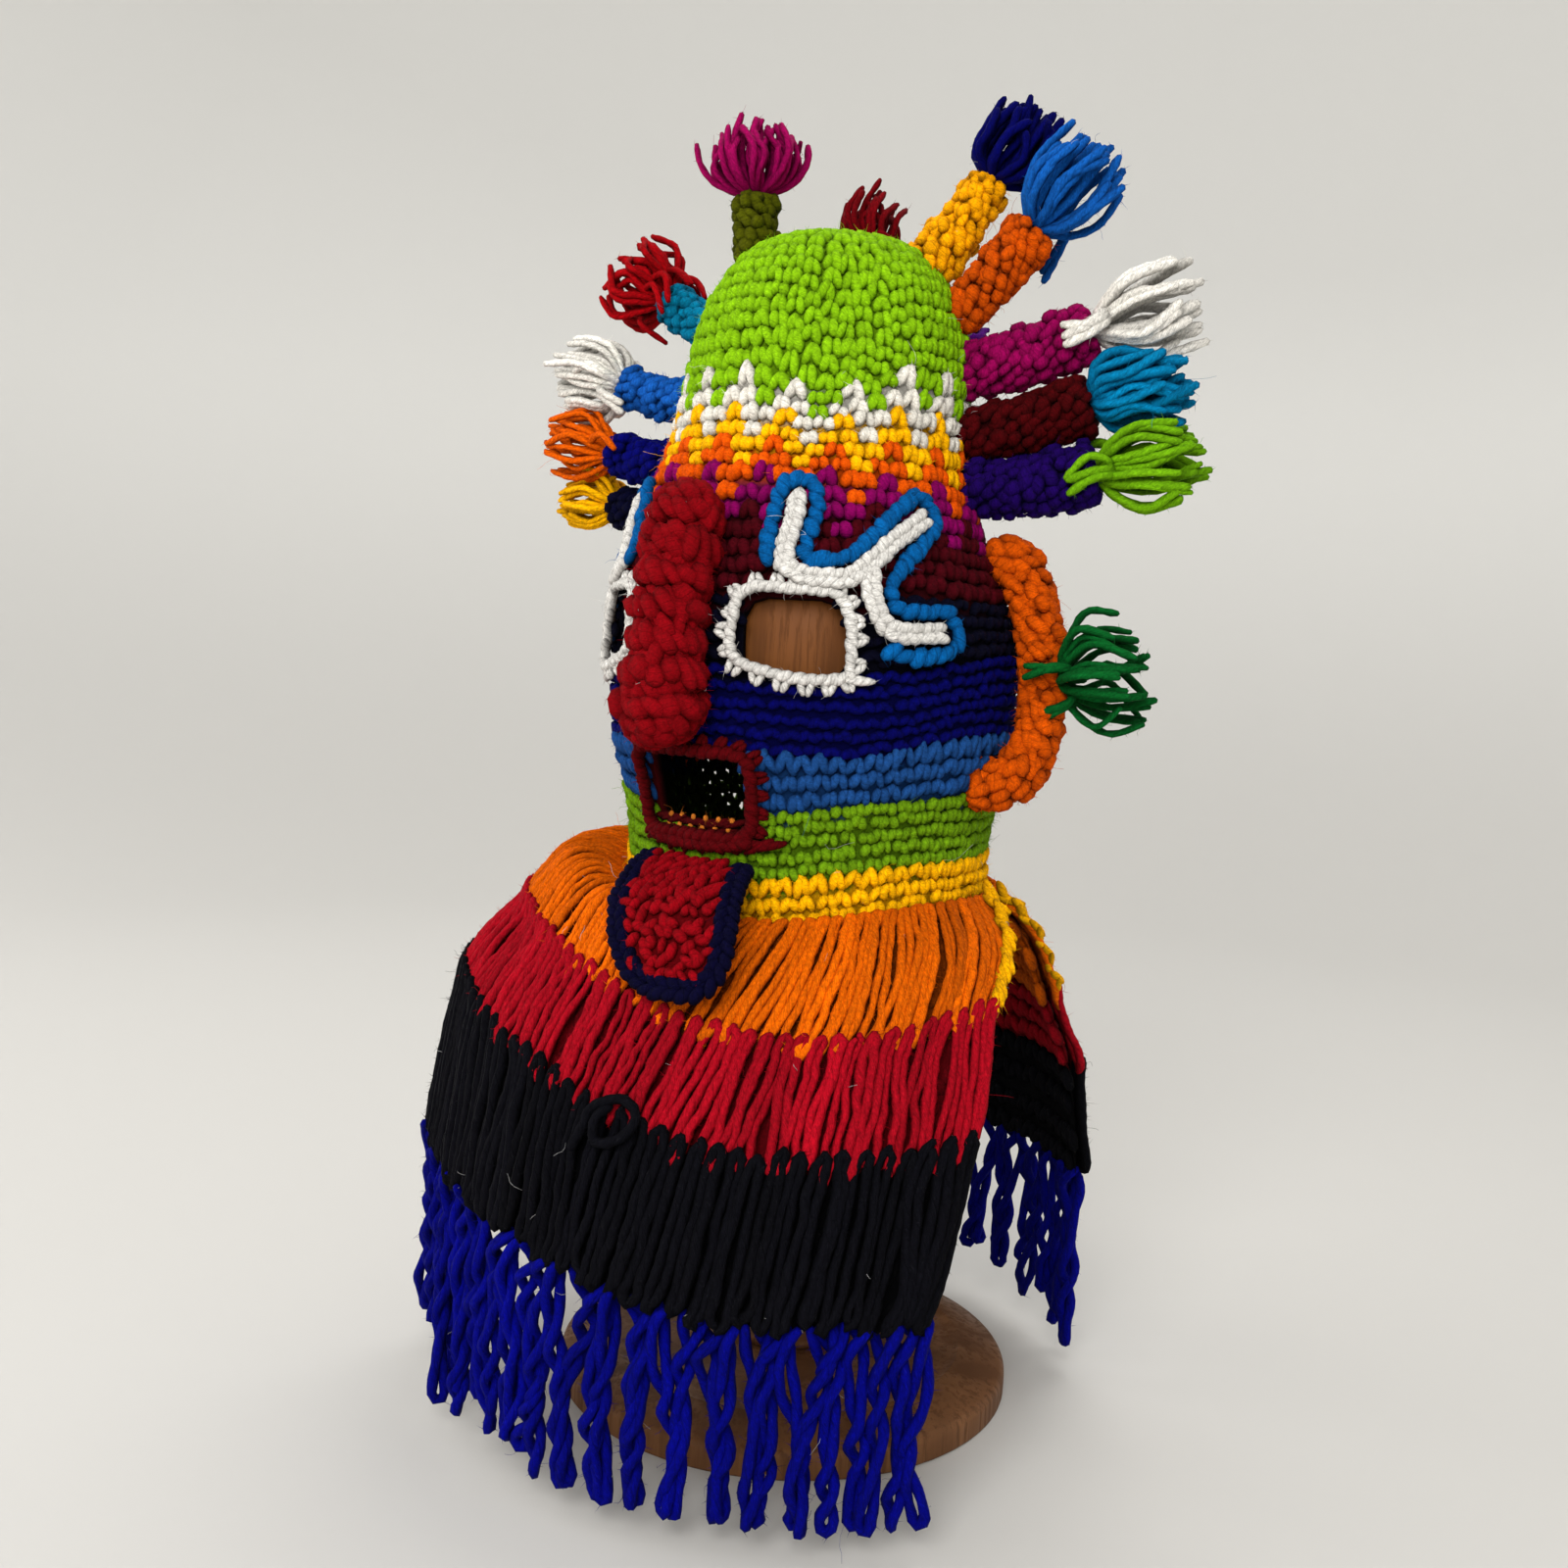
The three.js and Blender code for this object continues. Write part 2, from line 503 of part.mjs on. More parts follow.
const BAND_ROWS = [0, 0.25, 0.48, 0.52, 0.73, 0.77, 1];
const BAND_LIPS = [0, 0.6, 1, 0, 1, 0, 1];
function flapSolid(flap) {
  const rows = BAND_ROWS.length - 1;
  const box = new THREE.BoxGeometry(1, 1, 1, flap.columns, rows, 1);
  return bent(box, (point) => {
    const row = Math.round((0.5 - point.y) * rows);
    const outer = COLLAR_THICKNESS / 2 + BAND_LIP * BAND_LIPS[row];
    point.copy(onFlap(flap, 2 * point.x, BAND_ROWS[row], point.z > 0 ? outer : -COLLAR_THICKNESS / 2));
  });
}

// Fringe: twisted strands that hang from a narrow band along the black edge, of uneven lengths. Its
// outline is a comb: across in millimetres along the edge, and down from it.
function fringeSolid(flap, count) {
  const edge = flap.section(0)[4].x * radians(2 * flap.spread[4]);
  const pitch = edge / count;
  const half = FRINGE.strand;
  const outline = [];
  for (let i = 0; i < count; i++) {
    const middle = (i + 0.5) * pitch;
    const length = flap.fringe * (0.86 + 0.14 * Math.sin(5.1 * i + 1) * Math.cos(1.7 * i));
    const sway = 4 * Math.sin(3.3 * i);
    outline.push(v2(middle - half, FRINGE.header), v2(middle + sway - half, length));
    outline.push(v2(middle + sway + half, length), v2(middle + half, FRINGE.header));
  }
  for (let i = count; i >= 0; i--) outline.push(v2(i * pitch, 0));
  const options = { depth: 2 * FRINGE.strand, bevelEnabled: false };
  return bent(new THREE.ExtrudeGeometry(new THREE.Shape(outline), options), (point) => {
    const down = 1 + (GAP + point.y) / BEYOND;
    point.copy(onFlap(flap, (2 * point.x) / edge - 1, down, FRINGE.strand - point.z));
    point.z = Math.max(point.z, FRINGE.lowest);
  });
}

const FRONT = { middle: 0, spread: COLLAR_FRONT_SPREAD, section: collarSection, columns: 15, fringe: 88 };
const BACK = { middle: 180, spread: COLLAR_BACK_SPREAD, section: backSection, columns: 10, fringe: 76 };
addPiece("collar_front", cutToHood(solidFrom(flapSolid(FRONT))), YARN.orange);
addPiece("collar_back", cutToHood(solidFrom(flapSolid(BACK))), YARN.orange);
addPiece("fringe_front", solidFrom(fringeSolid(FRONT, 24)), YARN.fringeBlue);
addPiece("fringe_back", solidFrom(fringeSolid(BACK, 15)), YARN.fringeBlue);

export default mask;
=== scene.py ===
import math

import bpy
import numpy as np
from mathutils import Matrix, Vector


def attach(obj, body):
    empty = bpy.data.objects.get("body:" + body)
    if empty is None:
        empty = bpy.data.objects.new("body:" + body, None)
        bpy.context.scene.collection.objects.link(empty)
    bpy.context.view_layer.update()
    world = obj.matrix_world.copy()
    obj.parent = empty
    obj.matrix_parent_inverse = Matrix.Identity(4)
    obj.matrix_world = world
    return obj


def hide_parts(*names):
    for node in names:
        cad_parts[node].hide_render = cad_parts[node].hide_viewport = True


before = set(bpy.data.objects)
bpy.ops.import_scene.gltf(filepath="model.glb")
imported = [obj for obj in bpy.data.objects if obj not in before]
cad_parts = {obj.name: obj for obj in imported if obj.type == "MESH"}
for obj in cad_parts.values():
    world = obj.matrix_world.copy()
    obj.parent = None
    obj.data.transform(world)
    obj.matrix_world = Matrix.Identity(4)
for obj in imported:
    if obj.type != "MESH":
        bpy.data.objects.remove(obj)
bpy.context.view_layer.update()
MM = 0.001

# Camera: a handheld view from the wearer's left front, at the height of the eyes, tipped slightly down
# and turned a little clockwise. The picture is as wide as its distance at one lens length.
CAMERA_PLACE = (455.1, -561.9, 345.0)
CAMERA_AZIMUTH = 40
CAMERA_PITCH = 5.2
CAMERA_ROLL = 2.8
LENS = 36


def linked(name, data):
    """A new object in the scene that shows a mesh, a lamp or a camera."""
    made = bpy.data.objects.new(name, data)
    bpy.context.scene.collection.objects.link(made)
    return made


turn, pitch, roll = (math.radians(angle) for angle in (CAMERA_AZIMUTH, CAMERA_PITCH, CAMERA_ROLL))
forward = Vector((-math.sin(turn) * math.cos(pitch), math.cos(turn) * math.cos(pitch), -math.sin(pitch)))
right = Vector((math.cos(turn), math.sin(turn), 0))
upward = right.cross(forward)
rolled_right = right * math.cos(roll) + upward * math.sin(roll)
rolled_up = upward * math.cos(roll) - right * math.sin(roll)

camera_data = bpy.data.cameras.new("camera")
camera_data.lens = LENS
camera_data.sensor_width = LENS
camera = linked("camera", camera_data)
camera.matrix_world = Matrix.Translation(Vector(CAMERA_PLACE) * MM) @ Matrix(
    (rolled_right, rolled_up, -forward)
).transposed().to_4x4()
bpy.context.scene.camera = camera

# Studio: a pale round sweep of floor that rises into a wall all round, a broad soft light from above
# and in front, and weaker ones from the other side and from behind.
SWEEP = {"flat": 1300, "bend": 1500, "tall": 5200, "sides": 96, "pale_from": 900}
WALL_COLOUR = (0.79, 0.785, 0.765, 1)
# The floor is painted darker than the wall, a painted shade that keeps it below the wall's brightness under
# the light from above. The sweep's colour fades from one to the other up to pale_from.
SHADED_FLOOR_COLOUR = (0.57, 0.56, 0.54, 1)
SKY = {"colour": (1.0, 0.997, 0.99, 1), "strength": 0.72}
LIGHT_COLOUR = (1.0, 0.99, 0.97)
LIGHTS_AIM = (0, 0, 300)
LIGHTS = {
    "key_light": {"place": (900, -1700, 1350), "size": 1300, "power": 44},
    "fill_light": {"place": (-1500, -900, 900), "size": 1400, "power": 12},
    "back_light": {"place": (-300, 900, 2100), "size": 1200, "power": 16},
}


def node(tree, kind, wires=None, **settings):
    """A new node in a tree, with its settings, and with values or other nodes' outputs on its inputs."""
    made = tree.nodes.new(kind if kind.startswith("NodeGroup") else "ShaderNode" + kind)
    for name, value in settings.items():
        setattr(made, name, value)
    for name, value in (wires or {}).items():
        if isinstance(value, bpy.types.NodeSocket):
            tree.links.new(value, made.inputs[name])
        else:
            made.inputs[name].default_value = value
    return made


def ranged(tree, value, start, end, low=0.0, high=1.0, **settings):
    """A value taken from the range between start and end to the one between low and high."""
    wires = {"Value": value, "From Min": start, "From Max": end, "To Min": low, "To Max": high}
    return node(tree, "MapRange", wires, **settings).outputs[0]


def mixed_tones(tree, share, low, high):
    """A colour that goes from low to high as a share goes from 0 to 1."""
    return node(tree, "Mix", {0: share, 6: low, 7: high}, data_type="RGBA").outputs[2]


def round_faces(rings, sides):
    """The four-sided faces between closed rings of points, by the points' numbers."""
    index = np.arange(rings * sides).reshape(rings, sides)
    after = np.roll(index, -1, 1)
    return np.stack([index[:-1], after[:-1], after[1:], index[1:]], 2).reshape(-1, 4)


def turned_mesh(name, profile, sides):
    """A surface turned round the Z axis from (radius, height) points. A radius of 0 closes an end."""
    profile = np.asarray(profile, float)
    angles = np.arange(sides) * 2 * np.pi / sides
    radius, height = profile[:, None, 0], profile[:, None, 1]
    rings = np.stack([radius * np.sin(angles), -radius * np.cos(angles), np.repeat(height, sides, 1)], 2)
    mesh = bpy.data.meshes.new(name)
    mesh.from_pydata((rings.reshape(-1, 3) * MM).tolist(), [], round_faces(len(profile), sides).tolist())
    mesh.polygons.foreach_set("use_smooth", np.ones(len(mesh.polygons), bool))
    mesh.update()
    return mesh


bend = [
    (SWEEP["flat"] + SWEEP["bend"] * math.sin(a), SWEEP["bend"] * (1 - math.cos(a)))
    for a in np.linspace(0, math.pi / 2, 24)
]
sweep_profile = [(0.1, 0), *bend, (bend[-1][0], SWEEP["tall"])]
sweep = linked("studio_sweep", turned_mesh("studio_sweep", sweep_profile, SWEEP["sides"]))
sweep_paint = bpy.data.materials.new("pale_paint")
sweep_paint.use_nodes = True
sweep_tree = sweep_paint.node_tree
sweep_place = node(sweep_tree, "TexCoord").outputs["Object"]
sweep_height = node(sweep_tree, "SeparateXYZ", {"Vector": sweep_place}).outputs["Z"]
floor_shade_fade = ranged(sweep_tree, sweep_height, 0, SWEEP["pale_from"] * MM, interpolation_type="SMOOTHSTEP")
sweep_tones = mixed_tones(sweep_tree, floor_shade_fade, SHADED_FLOOR_COLOUR, WALL_COLOUR)
sweep_shader = sweep_tree.nodes["Principled BSDF"]
sweep_shader.inputs["Roughness"].default_value = 0.9
sweep_tree.links.new(sweep_tones, sweep_shader.inputs["Base Color"])
sweep.data.materials.append(sweep_paint)

for light_name, light in LIGHTS.items():
    lamp = bpy.data.lights.new(light_name, "AREA")
    lamp.size = light["size"] * MM
    lamp.energy = light["power"]
    lamp.color = LIGHT_COLOUR
    place = Vector(light["place"]) * MM
    aim = Vector(LIGHTS_AIM) * MM - place
    turned = aim.to_track_quat("-Z", "Y").to_matrix().to_4x4()
    linked(light_name, lamp).matrix_world = Matrix.Translation(place) @ turned

sky = bpy.data.worlds.new("studio_sky")
sky.use_nodes = True
sky.node_tree.nodes["Background"].inputs["Color"].default_value = SKY["colour"]
sky.node_tree.nodes["Background"].inputs["Strength"].default_value = SKY["strength"]
bpy.context.scene.world = sky
bpy.context.scene.view_settings.view_transform = "Standard"

# Hood, first its form: crocheted in rounds from the crown down to the neck, fuller at the cheeks, with
# a brow that leans out and a dent where the empty crown sags.
HOOD_OUTLINE = [
    (82, 228), (82, 260), (86, 282), (91, 300), (93, 329), (91, 352), (83, 376),
    (74, 402), (66.5, 428), (64, 452), (61.5, 476), (52, 501), (34, 519), (0, 527),
]
HOOD_STEPS = 360
CURVE_STEPS = 24
HOOD_WALL = 7
BROW = {"forward": 9, "height": 405, "spread": 45}
CROWN_DENT = {"depth": 7, "azimuth": 49, "height": 488, "width": 20, "spread": 24}


def unit(vectors):
    """The same directions with a length of one."""
    return vectors / np.maximum(np.linalg.norm(vectors, axis=-1, keepdims=True), 1e-9)


def rows_at(at, scale, table):
    """The rows of a table at places along its scale, mixed from the two nearest."""
    return np.stack([np.interp(at, scale, column) for column in np.asarray(table).T], -1)


def way_along(line):
    """How far along a line each of its points is."""
    return np.concatenate([[0], np.cumsum(np.linalg.norm(np.diff(line, axis=0), axis=1))])


def evenly(line, count):
    """count + 1 points at equal distances along a line of points."""
    way = way_along(line)
    return rows_at(np.linspace(0, way[-1], count + 1), way, line)


def smooth_line(points, doubled=True):
    """A smooth curve through points, at equal steps between each two. doubled makes it end straight."""
    knots = np.asarray(points, float)
    ends = (knots[0], knots[-1]) if doubled else (2 * knots[0] - knots[1], 2 * knots[-1] - knots[-2])
    knots = np.vstack([ends[:1], knots, ends[1:]])
    t = np.linspace(0, 1, CURVE_STEPS, endpoint=False)[:, None]
    spans = [
        0.5 * (2 * b + (c - a) * t + (2 * a - 5 * b + 4 * c - d) * t**2 + (3 * b - 3 * c + d - a) * t**3)
        for a, b, c, d in zip(knots, knots[1:], knots[2:], knots[3:])
    ]
    return np.vstack([*spans, knots[-2:-1]])


def through(points, count, doubled=False):
    """count + 1 points at equal distances along a smooth curve through the given ones."""
    return evenly(smooth_line(points, doubled), count)


def bell(offset, spread):
    """1 at no offset, and less and less beyond its spread."""
    return np.exp(-((offset / spread) ** 2))


def settled(azimuth, radius, height):
    """A point round the Z axis, moved as the hood settles on its block."""
    dent = CROWN_DENT["depth"] * bell(azimuth - CROWN_DENT["azimuth"], CROWN_DENT["width"])
    dent = dent * bell(height - CROWN_DENT["height"], CROWN_DENT["spread"])
    radius = np.where(radius > dent, radius - dent, radius)
    a = np.radians(azimuth)
    lean = BROW["forward"] * bell(height - BROW["height"], BROW["spread"])
    return np.stack([radius * np.sin(a), -radius * np.cos(a) - lean, height + 0 * a], -1)


hood_line = through(HOOD_OUTLINE, HOOD_STEPS, doubled=True)
hood_way = np.linspace(0, np.linalg.norm(np.diff(hood_line, axis=0), axis=1).sum(), HOOD_STEPS + 1)
hood_length = hood_way[-1]
hood_rise = unit(np.gradient(hood_line, axis=0))


def hood_radius(height):
    """How wide the hood is at a height, from its axis."""
    return np.interp(height, hood_line[:, 1], hood_line[:, 0])


def along_hood(height):
    """How far up the hood's wall a height is, from the neck edge."""
    return np.interp(height, hood_line[:, 1], hood_way)


def hood_surface(azimuth, along, out):
    """A point of the hood: its azimuth, its way up the wall and its distance outside it."""
    azimuth, along, out = np.broadcast_arrays(azimuth, along, out)
    radius = np.interp(along, hood_way, hood_line[:, 0]) + out * np.interp(along, hood_way, hood_rise[:, 1])
    height = np.interp(along, hood_way, hood_line[:, 1]) - out * np.interp(along, hood_way, hood_rise[:, 0])
    height = height + np.minimum(along, 0)
    return settled(azimuth, radius, height)


def beside(feature, side, across, up, out):
    """A point on the hood, as millimetres across and up from the middle of a feature of the face."""
    per_degree = math.radians(1) * hood_radius(feature["height"])
    azimuth = side * feature["azimuth"] + np.asarray(across) / per_degree
    return hood_surface(azimuth, along_hood(feature["height"] + np.asarray(up)), out)


# Stand: a foot with a moulded edge, a slim post with a ring, and a head-shaped block of warm brown
# hardwood that fills the hood down to the cheeks. All three are turned and lightly waxed.
BLOCK = {"bottom": 302, "top": 482, "inset": HOOD_WALL + 1.5, "edge": 6, "shoulder": 30, "sides": 96}
BLOCK_TONES = ((0.162, 0.051, 0.007, 1), (0.048, 0.015, 0.003, 1))
STAND_TONES = ((0.20, 0.088, 0.034, 1), (0.07, 0.028, 0.012, 1))


def new_group(name, inputs, outputs):
    """An empty shader node group with its sockets: {name: (kind, value)} and {name: kind}."""
    group = bpy.data.node_groups.new(name, "ShaderNodeTree")
    for socket, (kind, value) in inputs.items():
        made = group.interface.new_socket(socket, in_out="INPUT", socket_type="NodeSocket" + kind)
        made.default_value = value
    for socket, kind in outputs.items():
        group.interface.new_socket(socket, in_out="OUTPUT", socket_type="NodeSocket" + kind)
    return group


def maths(tree, operation, *values):
    """What a maths node gives for some values or other nodes' outputs."""
    return node(tree, "Math", dict(enumerate(values)), operation=operation).outputs[0]


def wood_grain_group():
    """Long vertical grain with darker pores and slow changes of tone."""
    group = new_group(
        "wood_grain",
        {
            "Light": ("Color", (0.40, 0.20, 0.075, 1)),
            "Dark": ("Color", (0.13, 0.055, 0.022, 1)),
            "Fineness": ("Float", 1.0),
        },
        {"Colour": "Color", "Roughness": "Float", "Height": "Float"},
    )
    into = node(group, "NodeGroupInput").outputs
    place = node(group, "TexCoord").outputs["Object"]
    stretched = node(group, "Mapping", {"Vector": place, "Scale": (1.0, 1.0, 0.07)}).outputs["Vector"]
    fine = maths(group, "MULTIPLY", into["Fineness"], 420.0)
    broad = maths(group, "MULTIPLY", into["Fineness"], 45.0)
    pores = node(group, "TexNoise", {"Vector": stretched, "Scale": fine, "Detail": 4.0, "Roughness": 0.65})
    figure_settings = {"Vector": stretched, "Scale": broad, "Detail": 3.0, "Distortion": 1.2}
    figure = node(group, "TexNoise", figure_settings)
    patches = node(group, "TexNoise", {"Vector": place, "Scale": 22.0, "Detail": 2.0})
    streak = ranged(group, figure.outputs["Fac"], 0.35, 0.68)
    pore = ranged(group, pores.outputs["Fac"], 0.4, 0.52)
    both = maths(group, "MULTIPLY", streak, pore)
    toned = maths(group, "ADD", maths(group, "MULTIPLY_ADD", both, 0.62, 0.2), patches.outputs["Fac"])
    share = ranged(group, toned, 0.35, 1.25)
    finished = {
        "Colour": mixed_tones(group, share, into["Dark"], into["Light"]),
        "Roughness": ranged(group, both, 0, 1, 0.62, 0.42),
        "Height": both,
    }
    node(group, "NodeGroupOutput", finished)
    return group


wood_grain = wood_grain_group()


def wood(name, tones, fineness):
    """Waxed hardwood in two tones, the lighter one first."""
    material = bpy.data.materials.new(name)
    material.use_nodes = True
    tree = material.node_tree
    settings = {"Light": tones[0], "Dark": tones[1], "Fineness": fineness}
    grain = node(tree, "Group", settings, node_tree=wood_grain)
    bump = node(tree, "Bump", {"Height": grain.outputs["Height"], "Strength": 0.25, "Distance": 0.0004})
    shader = tree.nodes["Principled BSDF"]
    shader.inputs["Specular IOR Level"].default_value = 0.14
    tree.links.new(grain.outputs["Colour"], shader.inputs["Base Color"])
    tree.links.new(grain.outputs["Roughness"], shader.inputs["Roughness"])
    tree.links.new(bump.outputs["Normal"], shader.inputs["Normal"])
    return material


def dress(piece, slot, *nodes):
    """Puts a finished piece on the part's one body, in place of the plain solids that it stands for."""
    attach(piece, "root")
    if nodes:
        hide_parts(*nodes)
    return piece


def arc(middle, radius, start, end, count):
    """Points of an arc about a (radius, height) point, between two angles in degrees."""
    angles = np.radians(np.linspace(start, end, count))
    return [(middle[0] + radius * np.cos(a), middle[1] + radius * np.sin(a)) for a in angles]


block_wood = wood("block_wood", BLOCK_TONES, 1.0)
stand_wood = wood("stand_wood", STAND_TONES, 0.8)

# The foot's and the post's outlines, from the middle of the bottom to the middle of the top
foot_profile = [
    (0, 0), (103.5, 0), *arc((103.5, 1.5), 1.5, -90, 0, 4), (105, 7.5), *arc((101, 9), 4, 0, 70, 6),
    (99, 13.6), *arc((77, 30), 13, -60, -90, 8), (24, 17.4), (0, 17.4),
]
post_profile = [
    (0, 18.4), (23, 18.4), *arc((22, 20.4), 2, -60, 60, 6), (19, 24), *arc((24, 33), 9, 230, 180, 7),
    *arc((22, 44), 9, 190, 176, 3), (13, 60), (13, 138), *arc((13.5, 142), 2, -90, 60, 5),
    *arc((13, 150), 5, -60, 60, 9), *arc((13.5, 158), 2, -60, 90, 5), (13, 162), (13, 262),
    *arc((20, 276), 7.5, 200, 120, 6), (20.5, 288), *arc((19.5, 293), 2, -60, 60, 6), (20, 301.4),
    (0, 301.4),
]
for name, profile, sides in (("turned_foot", foot_profile, 128), ("turned_post", post_profile, 64)):
    part = linked(name, turned_mesh(name, profile, sides))
    part.data.materials.append(stand_wood)
    dress(part, "stand_wood", "stand_" + name.split("_")[1])

side_heights = np.linspace(BLOCK["bottom"] + BLOCK["edge"], BLOCK["top"] - BLOCK["shoulder"], 26)
block_side = [(hood_radius(height) - BLOCK["inset"], height) for height in side_heights]
shoulder_radius, shoulder_height = block_side[-1]
dome = [
    (shoulder_radius * math.cos(a), shoulder_height + (BLOCK["top"] - shoulder_height) * math.sin(a))
    for a in np.linspace(0.08, math.pi / 2, 16)
]
edge_middle = (block_side[0][0] - BLOCK["edge"], BLOCK["bottom"] + BLOCK["edge"])
block_profile = [
    (0, BLOCK["bottom"]), (edge_middle[0], BLOCK["bottom"]),
    *arc(edge_middle, BLOCK["edge"], -75, -15, 5), *block_side, *dome,
]
block_mesh = turned_mesh("carved_block", block_profile, BLOCK["sides"])
places = np.array([corner.co for corner in block_mesh.vertices]) / MM
azimuths = np.degrees(np.arctan2(places[:, 0], -places[:, 1]))
places = settled(azimuths, np.hypot(places[:, 0], places[:, 1]), places[:, 2])
block_mesh.vertices.foreach_set("co", (places * MM).ravel())
block = linked("carved_block", block_mesh)
block_mesh.materials.append(block_wood)
dress(block, "stand_wood", "stand_block")

# Hood, now its stitches: about 50 rounds of thick wool yarn, each stitch two plump legs that meet at the
# top. The colours change in rounds, and round the crown and brow in points of one, two and three stitches.
STITCH_WIDTH = 7.6
CROWN_ROUND = 7.2
CROWN_END = 4
YARNS = {
    "lime": (131, 185, 20), "white": (228, 223, 212), "yellow": (255, 184, 3), "orange": (224, 84, 3),
    "magenta": (128, 5, 86), "maroon": (70, 8, 20), "dark_navy": (12, 12, 30), "royal": (4, 6, 84),
    "steel": (32, 74, 134), "grass": (106, 149, 22),
}
ROUND_SLANT = 0.36
POINT_STITCHES = 3
POINTED_BANDS = 5
# Each band: its yarn, the height of its highest tops at the sides, its rounds and the stitches in a round
BANDS = [
    ("white", 462, 2, 51), ("yellow", 443.5, 2, 51), ("orange", 428.5, 2, 51), ("magenta", 412.5, 2, 51),
    ("maroon", 399, 5, 54), ("dark_navy", 366, 4, 69), ("royal", 343.5, 6, 78), ("steel", 308, 3, 78),
    ("grass", 284, 5, 75), ("yellow", 254, 3, 72),
]
LAST_ROUND_BOTTOM = 236
LONG_STITCHES = (7, 9)
SMOOTH_RIBS = (5, 6)
# How much lower the rounds run in front than at the sides, for heights from the neck to the crown
DROP_HEIGHTS = (236, 254, 284, 308, 343, 366, 411, 428, 443, 462, 480)
DROP_AZIMUTHS = (0, 30, 50, 65, 80, 95)
DROPS = (
    (16, 10, 12, 9, 9.3, 2, -4.5, 0, 1.5, 3.5, 0), (11.5, 8.5, 9.7, 9, 9, 1, -4.2, 0, 1, 3, 0),
    (5.5, 3.5, 5.5, 9.6, 8.5, 0, -4, 0, 1, 2, 0), (2.5, 0, 3, 5.5, 7, -1, -2.5, 0, 0, 1, 0),
    (0.5, -0.5, 0.7, 1, 2.5, -0.7, -1, 0, 0, 0, 0), (0, 0, 0, 0, 0, 0, 0, 0, 0, 0, 0),
)
# Where the empty crown sags, the rounds hang this much lower
SAG_HEIGHTS = (411, 428, 442, 453, 462, 474, 487, 500, 515, 527)
SAGS = (0, 2, 5.5, 9.5, 12.5, 14, 13, 11, 6, 0)
SAG_MIDDLE = {"heights": (455, 475), "azimuths": (38, 46), "spread": 18}
EYE = {"azimuth": 33.5, "height": 347, "wide": 44, "tall": 33, "corner": 9}
MOUTH = {"azimuth": 4.5, "height": 281, "wide": 51, "tall": 31, "corner": 7}
# Stitches that are turned away from the camera have coarse legs, and cords have fine ones
CAMERA_SIDE = {"azimuth": 30, "reach": 105}
COARSE = {"sides": 5, "rings": (-0.7, 0, 0.7)}
FINE = {"sides": 8, "rings": (-0.9, -0.5, 0, 0.5, 0.9)}
# Half of a leg's length, width and depth, and its place, as shares of its stitch
LEG = {"long": 0.57, "wide": 0.285, "deep": 0.27, "apart": 0.24}
# Painted shade in each leg's colour: how dark its side turned in gets, how fast it turns from lit to dark,
# and how much darker its ends and its lower end are
LEG_SHADE = {"deepest": 0.36, "turn": 0.62, "ends": 0.2, "bottom": 0.09}


def wool_yarn_group():
    """Spun wool: two plies that wind round each other, with painted shade in the groove between them, fine
    fibres along them and a few pale flecks.
    """
    group = new_group(
        "wool_yarn",
        {
            "Yarn": ("Color", (0.5, 0.5, 0.5, 1)),
            "Strand": ("Vector", (0, 0, 0)),
            "Twist": ("Float", 0.5),
            "Ply": ("Float", 0.5),
            "Fibre": ("Float", 1.0),
        },
        {"Colour": "Color", "Roughness": "Float", "Height": "Float"},
    )
    into = node(group, "NodeGroupInput").outputs
    way = node(group, "SeparateXYZ", {"Vector": into["Strand"]}).outputs["Z"]
    angle = maths(group, "MULTIPLY", way, into["Twist"])
    wound = node(group, "VectorRotate", {"Vector": into["Strand"], "Angle": angle}, rotation_type="Z_AXIS")
    across = node(group, "SeparateXYZ", {"Vector": wound.outputs[0]}).outputs
    level = maths(group, "ABSOLUTE", across["Y"])
    groove = ranged(group, level, 0, 0.9, interpolation_type="SMOOTHSTEP")
    fibre_place = node(group, "Mapping", {"Vector": wound.outputs[0], "Scale": (2.6, 2.6, 0.42)})
    fibre_noise = node(group, "TexNoise", {"Vector": fibre_place.outputs[0], "Scale": 1.0, "Detail": 4.0})
    fibres = fibre_noise.outputs["Fac"]
    felt = node(group, "TexNoise", {"Vector": into["Strand"], "Scale": 0.85, "Detail": 3.0}).outputs["Fac"]
    fleck_share = maths(group, "MULTIPLY", ranged(group, fibres, 0.66, 0.8), into["Fibre"])
    deep = maths(group, "MULTIPLY", maths(group, "MULTIPLY_ADD", groove, -1.0, 1.0), into["Ply"])
    fine_tone = ranged(group, fibres, 0.3, 0.7, 0.6, 1.36)
    broad_tone = ranged(group, felt, 0.3, 0.7, 0.78, 1.2)
    # Painted shade: the colour is darker in the groove between the plies
    shaded = maths(group, "MULTIPLY_ADD", deep, -0.45, 1.0)
    light = maths(group, "MULTIPLY", maths(group, "MULTIPLY", fine_tone, broad_tone), shaded)
    colour = node(group, "VectorMath", {0: into["Yarn"], "Scale": light}, operation="SCALE").outputs[0]
    pale = node(group, "VectorMath", {0: colour, 1: (0.02, 0.02, 0.02)}, operation="ADD").outputs[0]
    finished = {
        "Colour": mixed_tones(group, fleck_share, colour, pale),
        "Roughness": ranged(group, fibres, 0, 1, 0.98, 0.8),
        "Height": maths(group, "SUBTRACT", maths(group, "MULTIPLY", fibres, 0.6), deep),
    }
    node(group, "NodeGroupOutput", finished)
    return group


wool_yarn = wool_yarn_group()


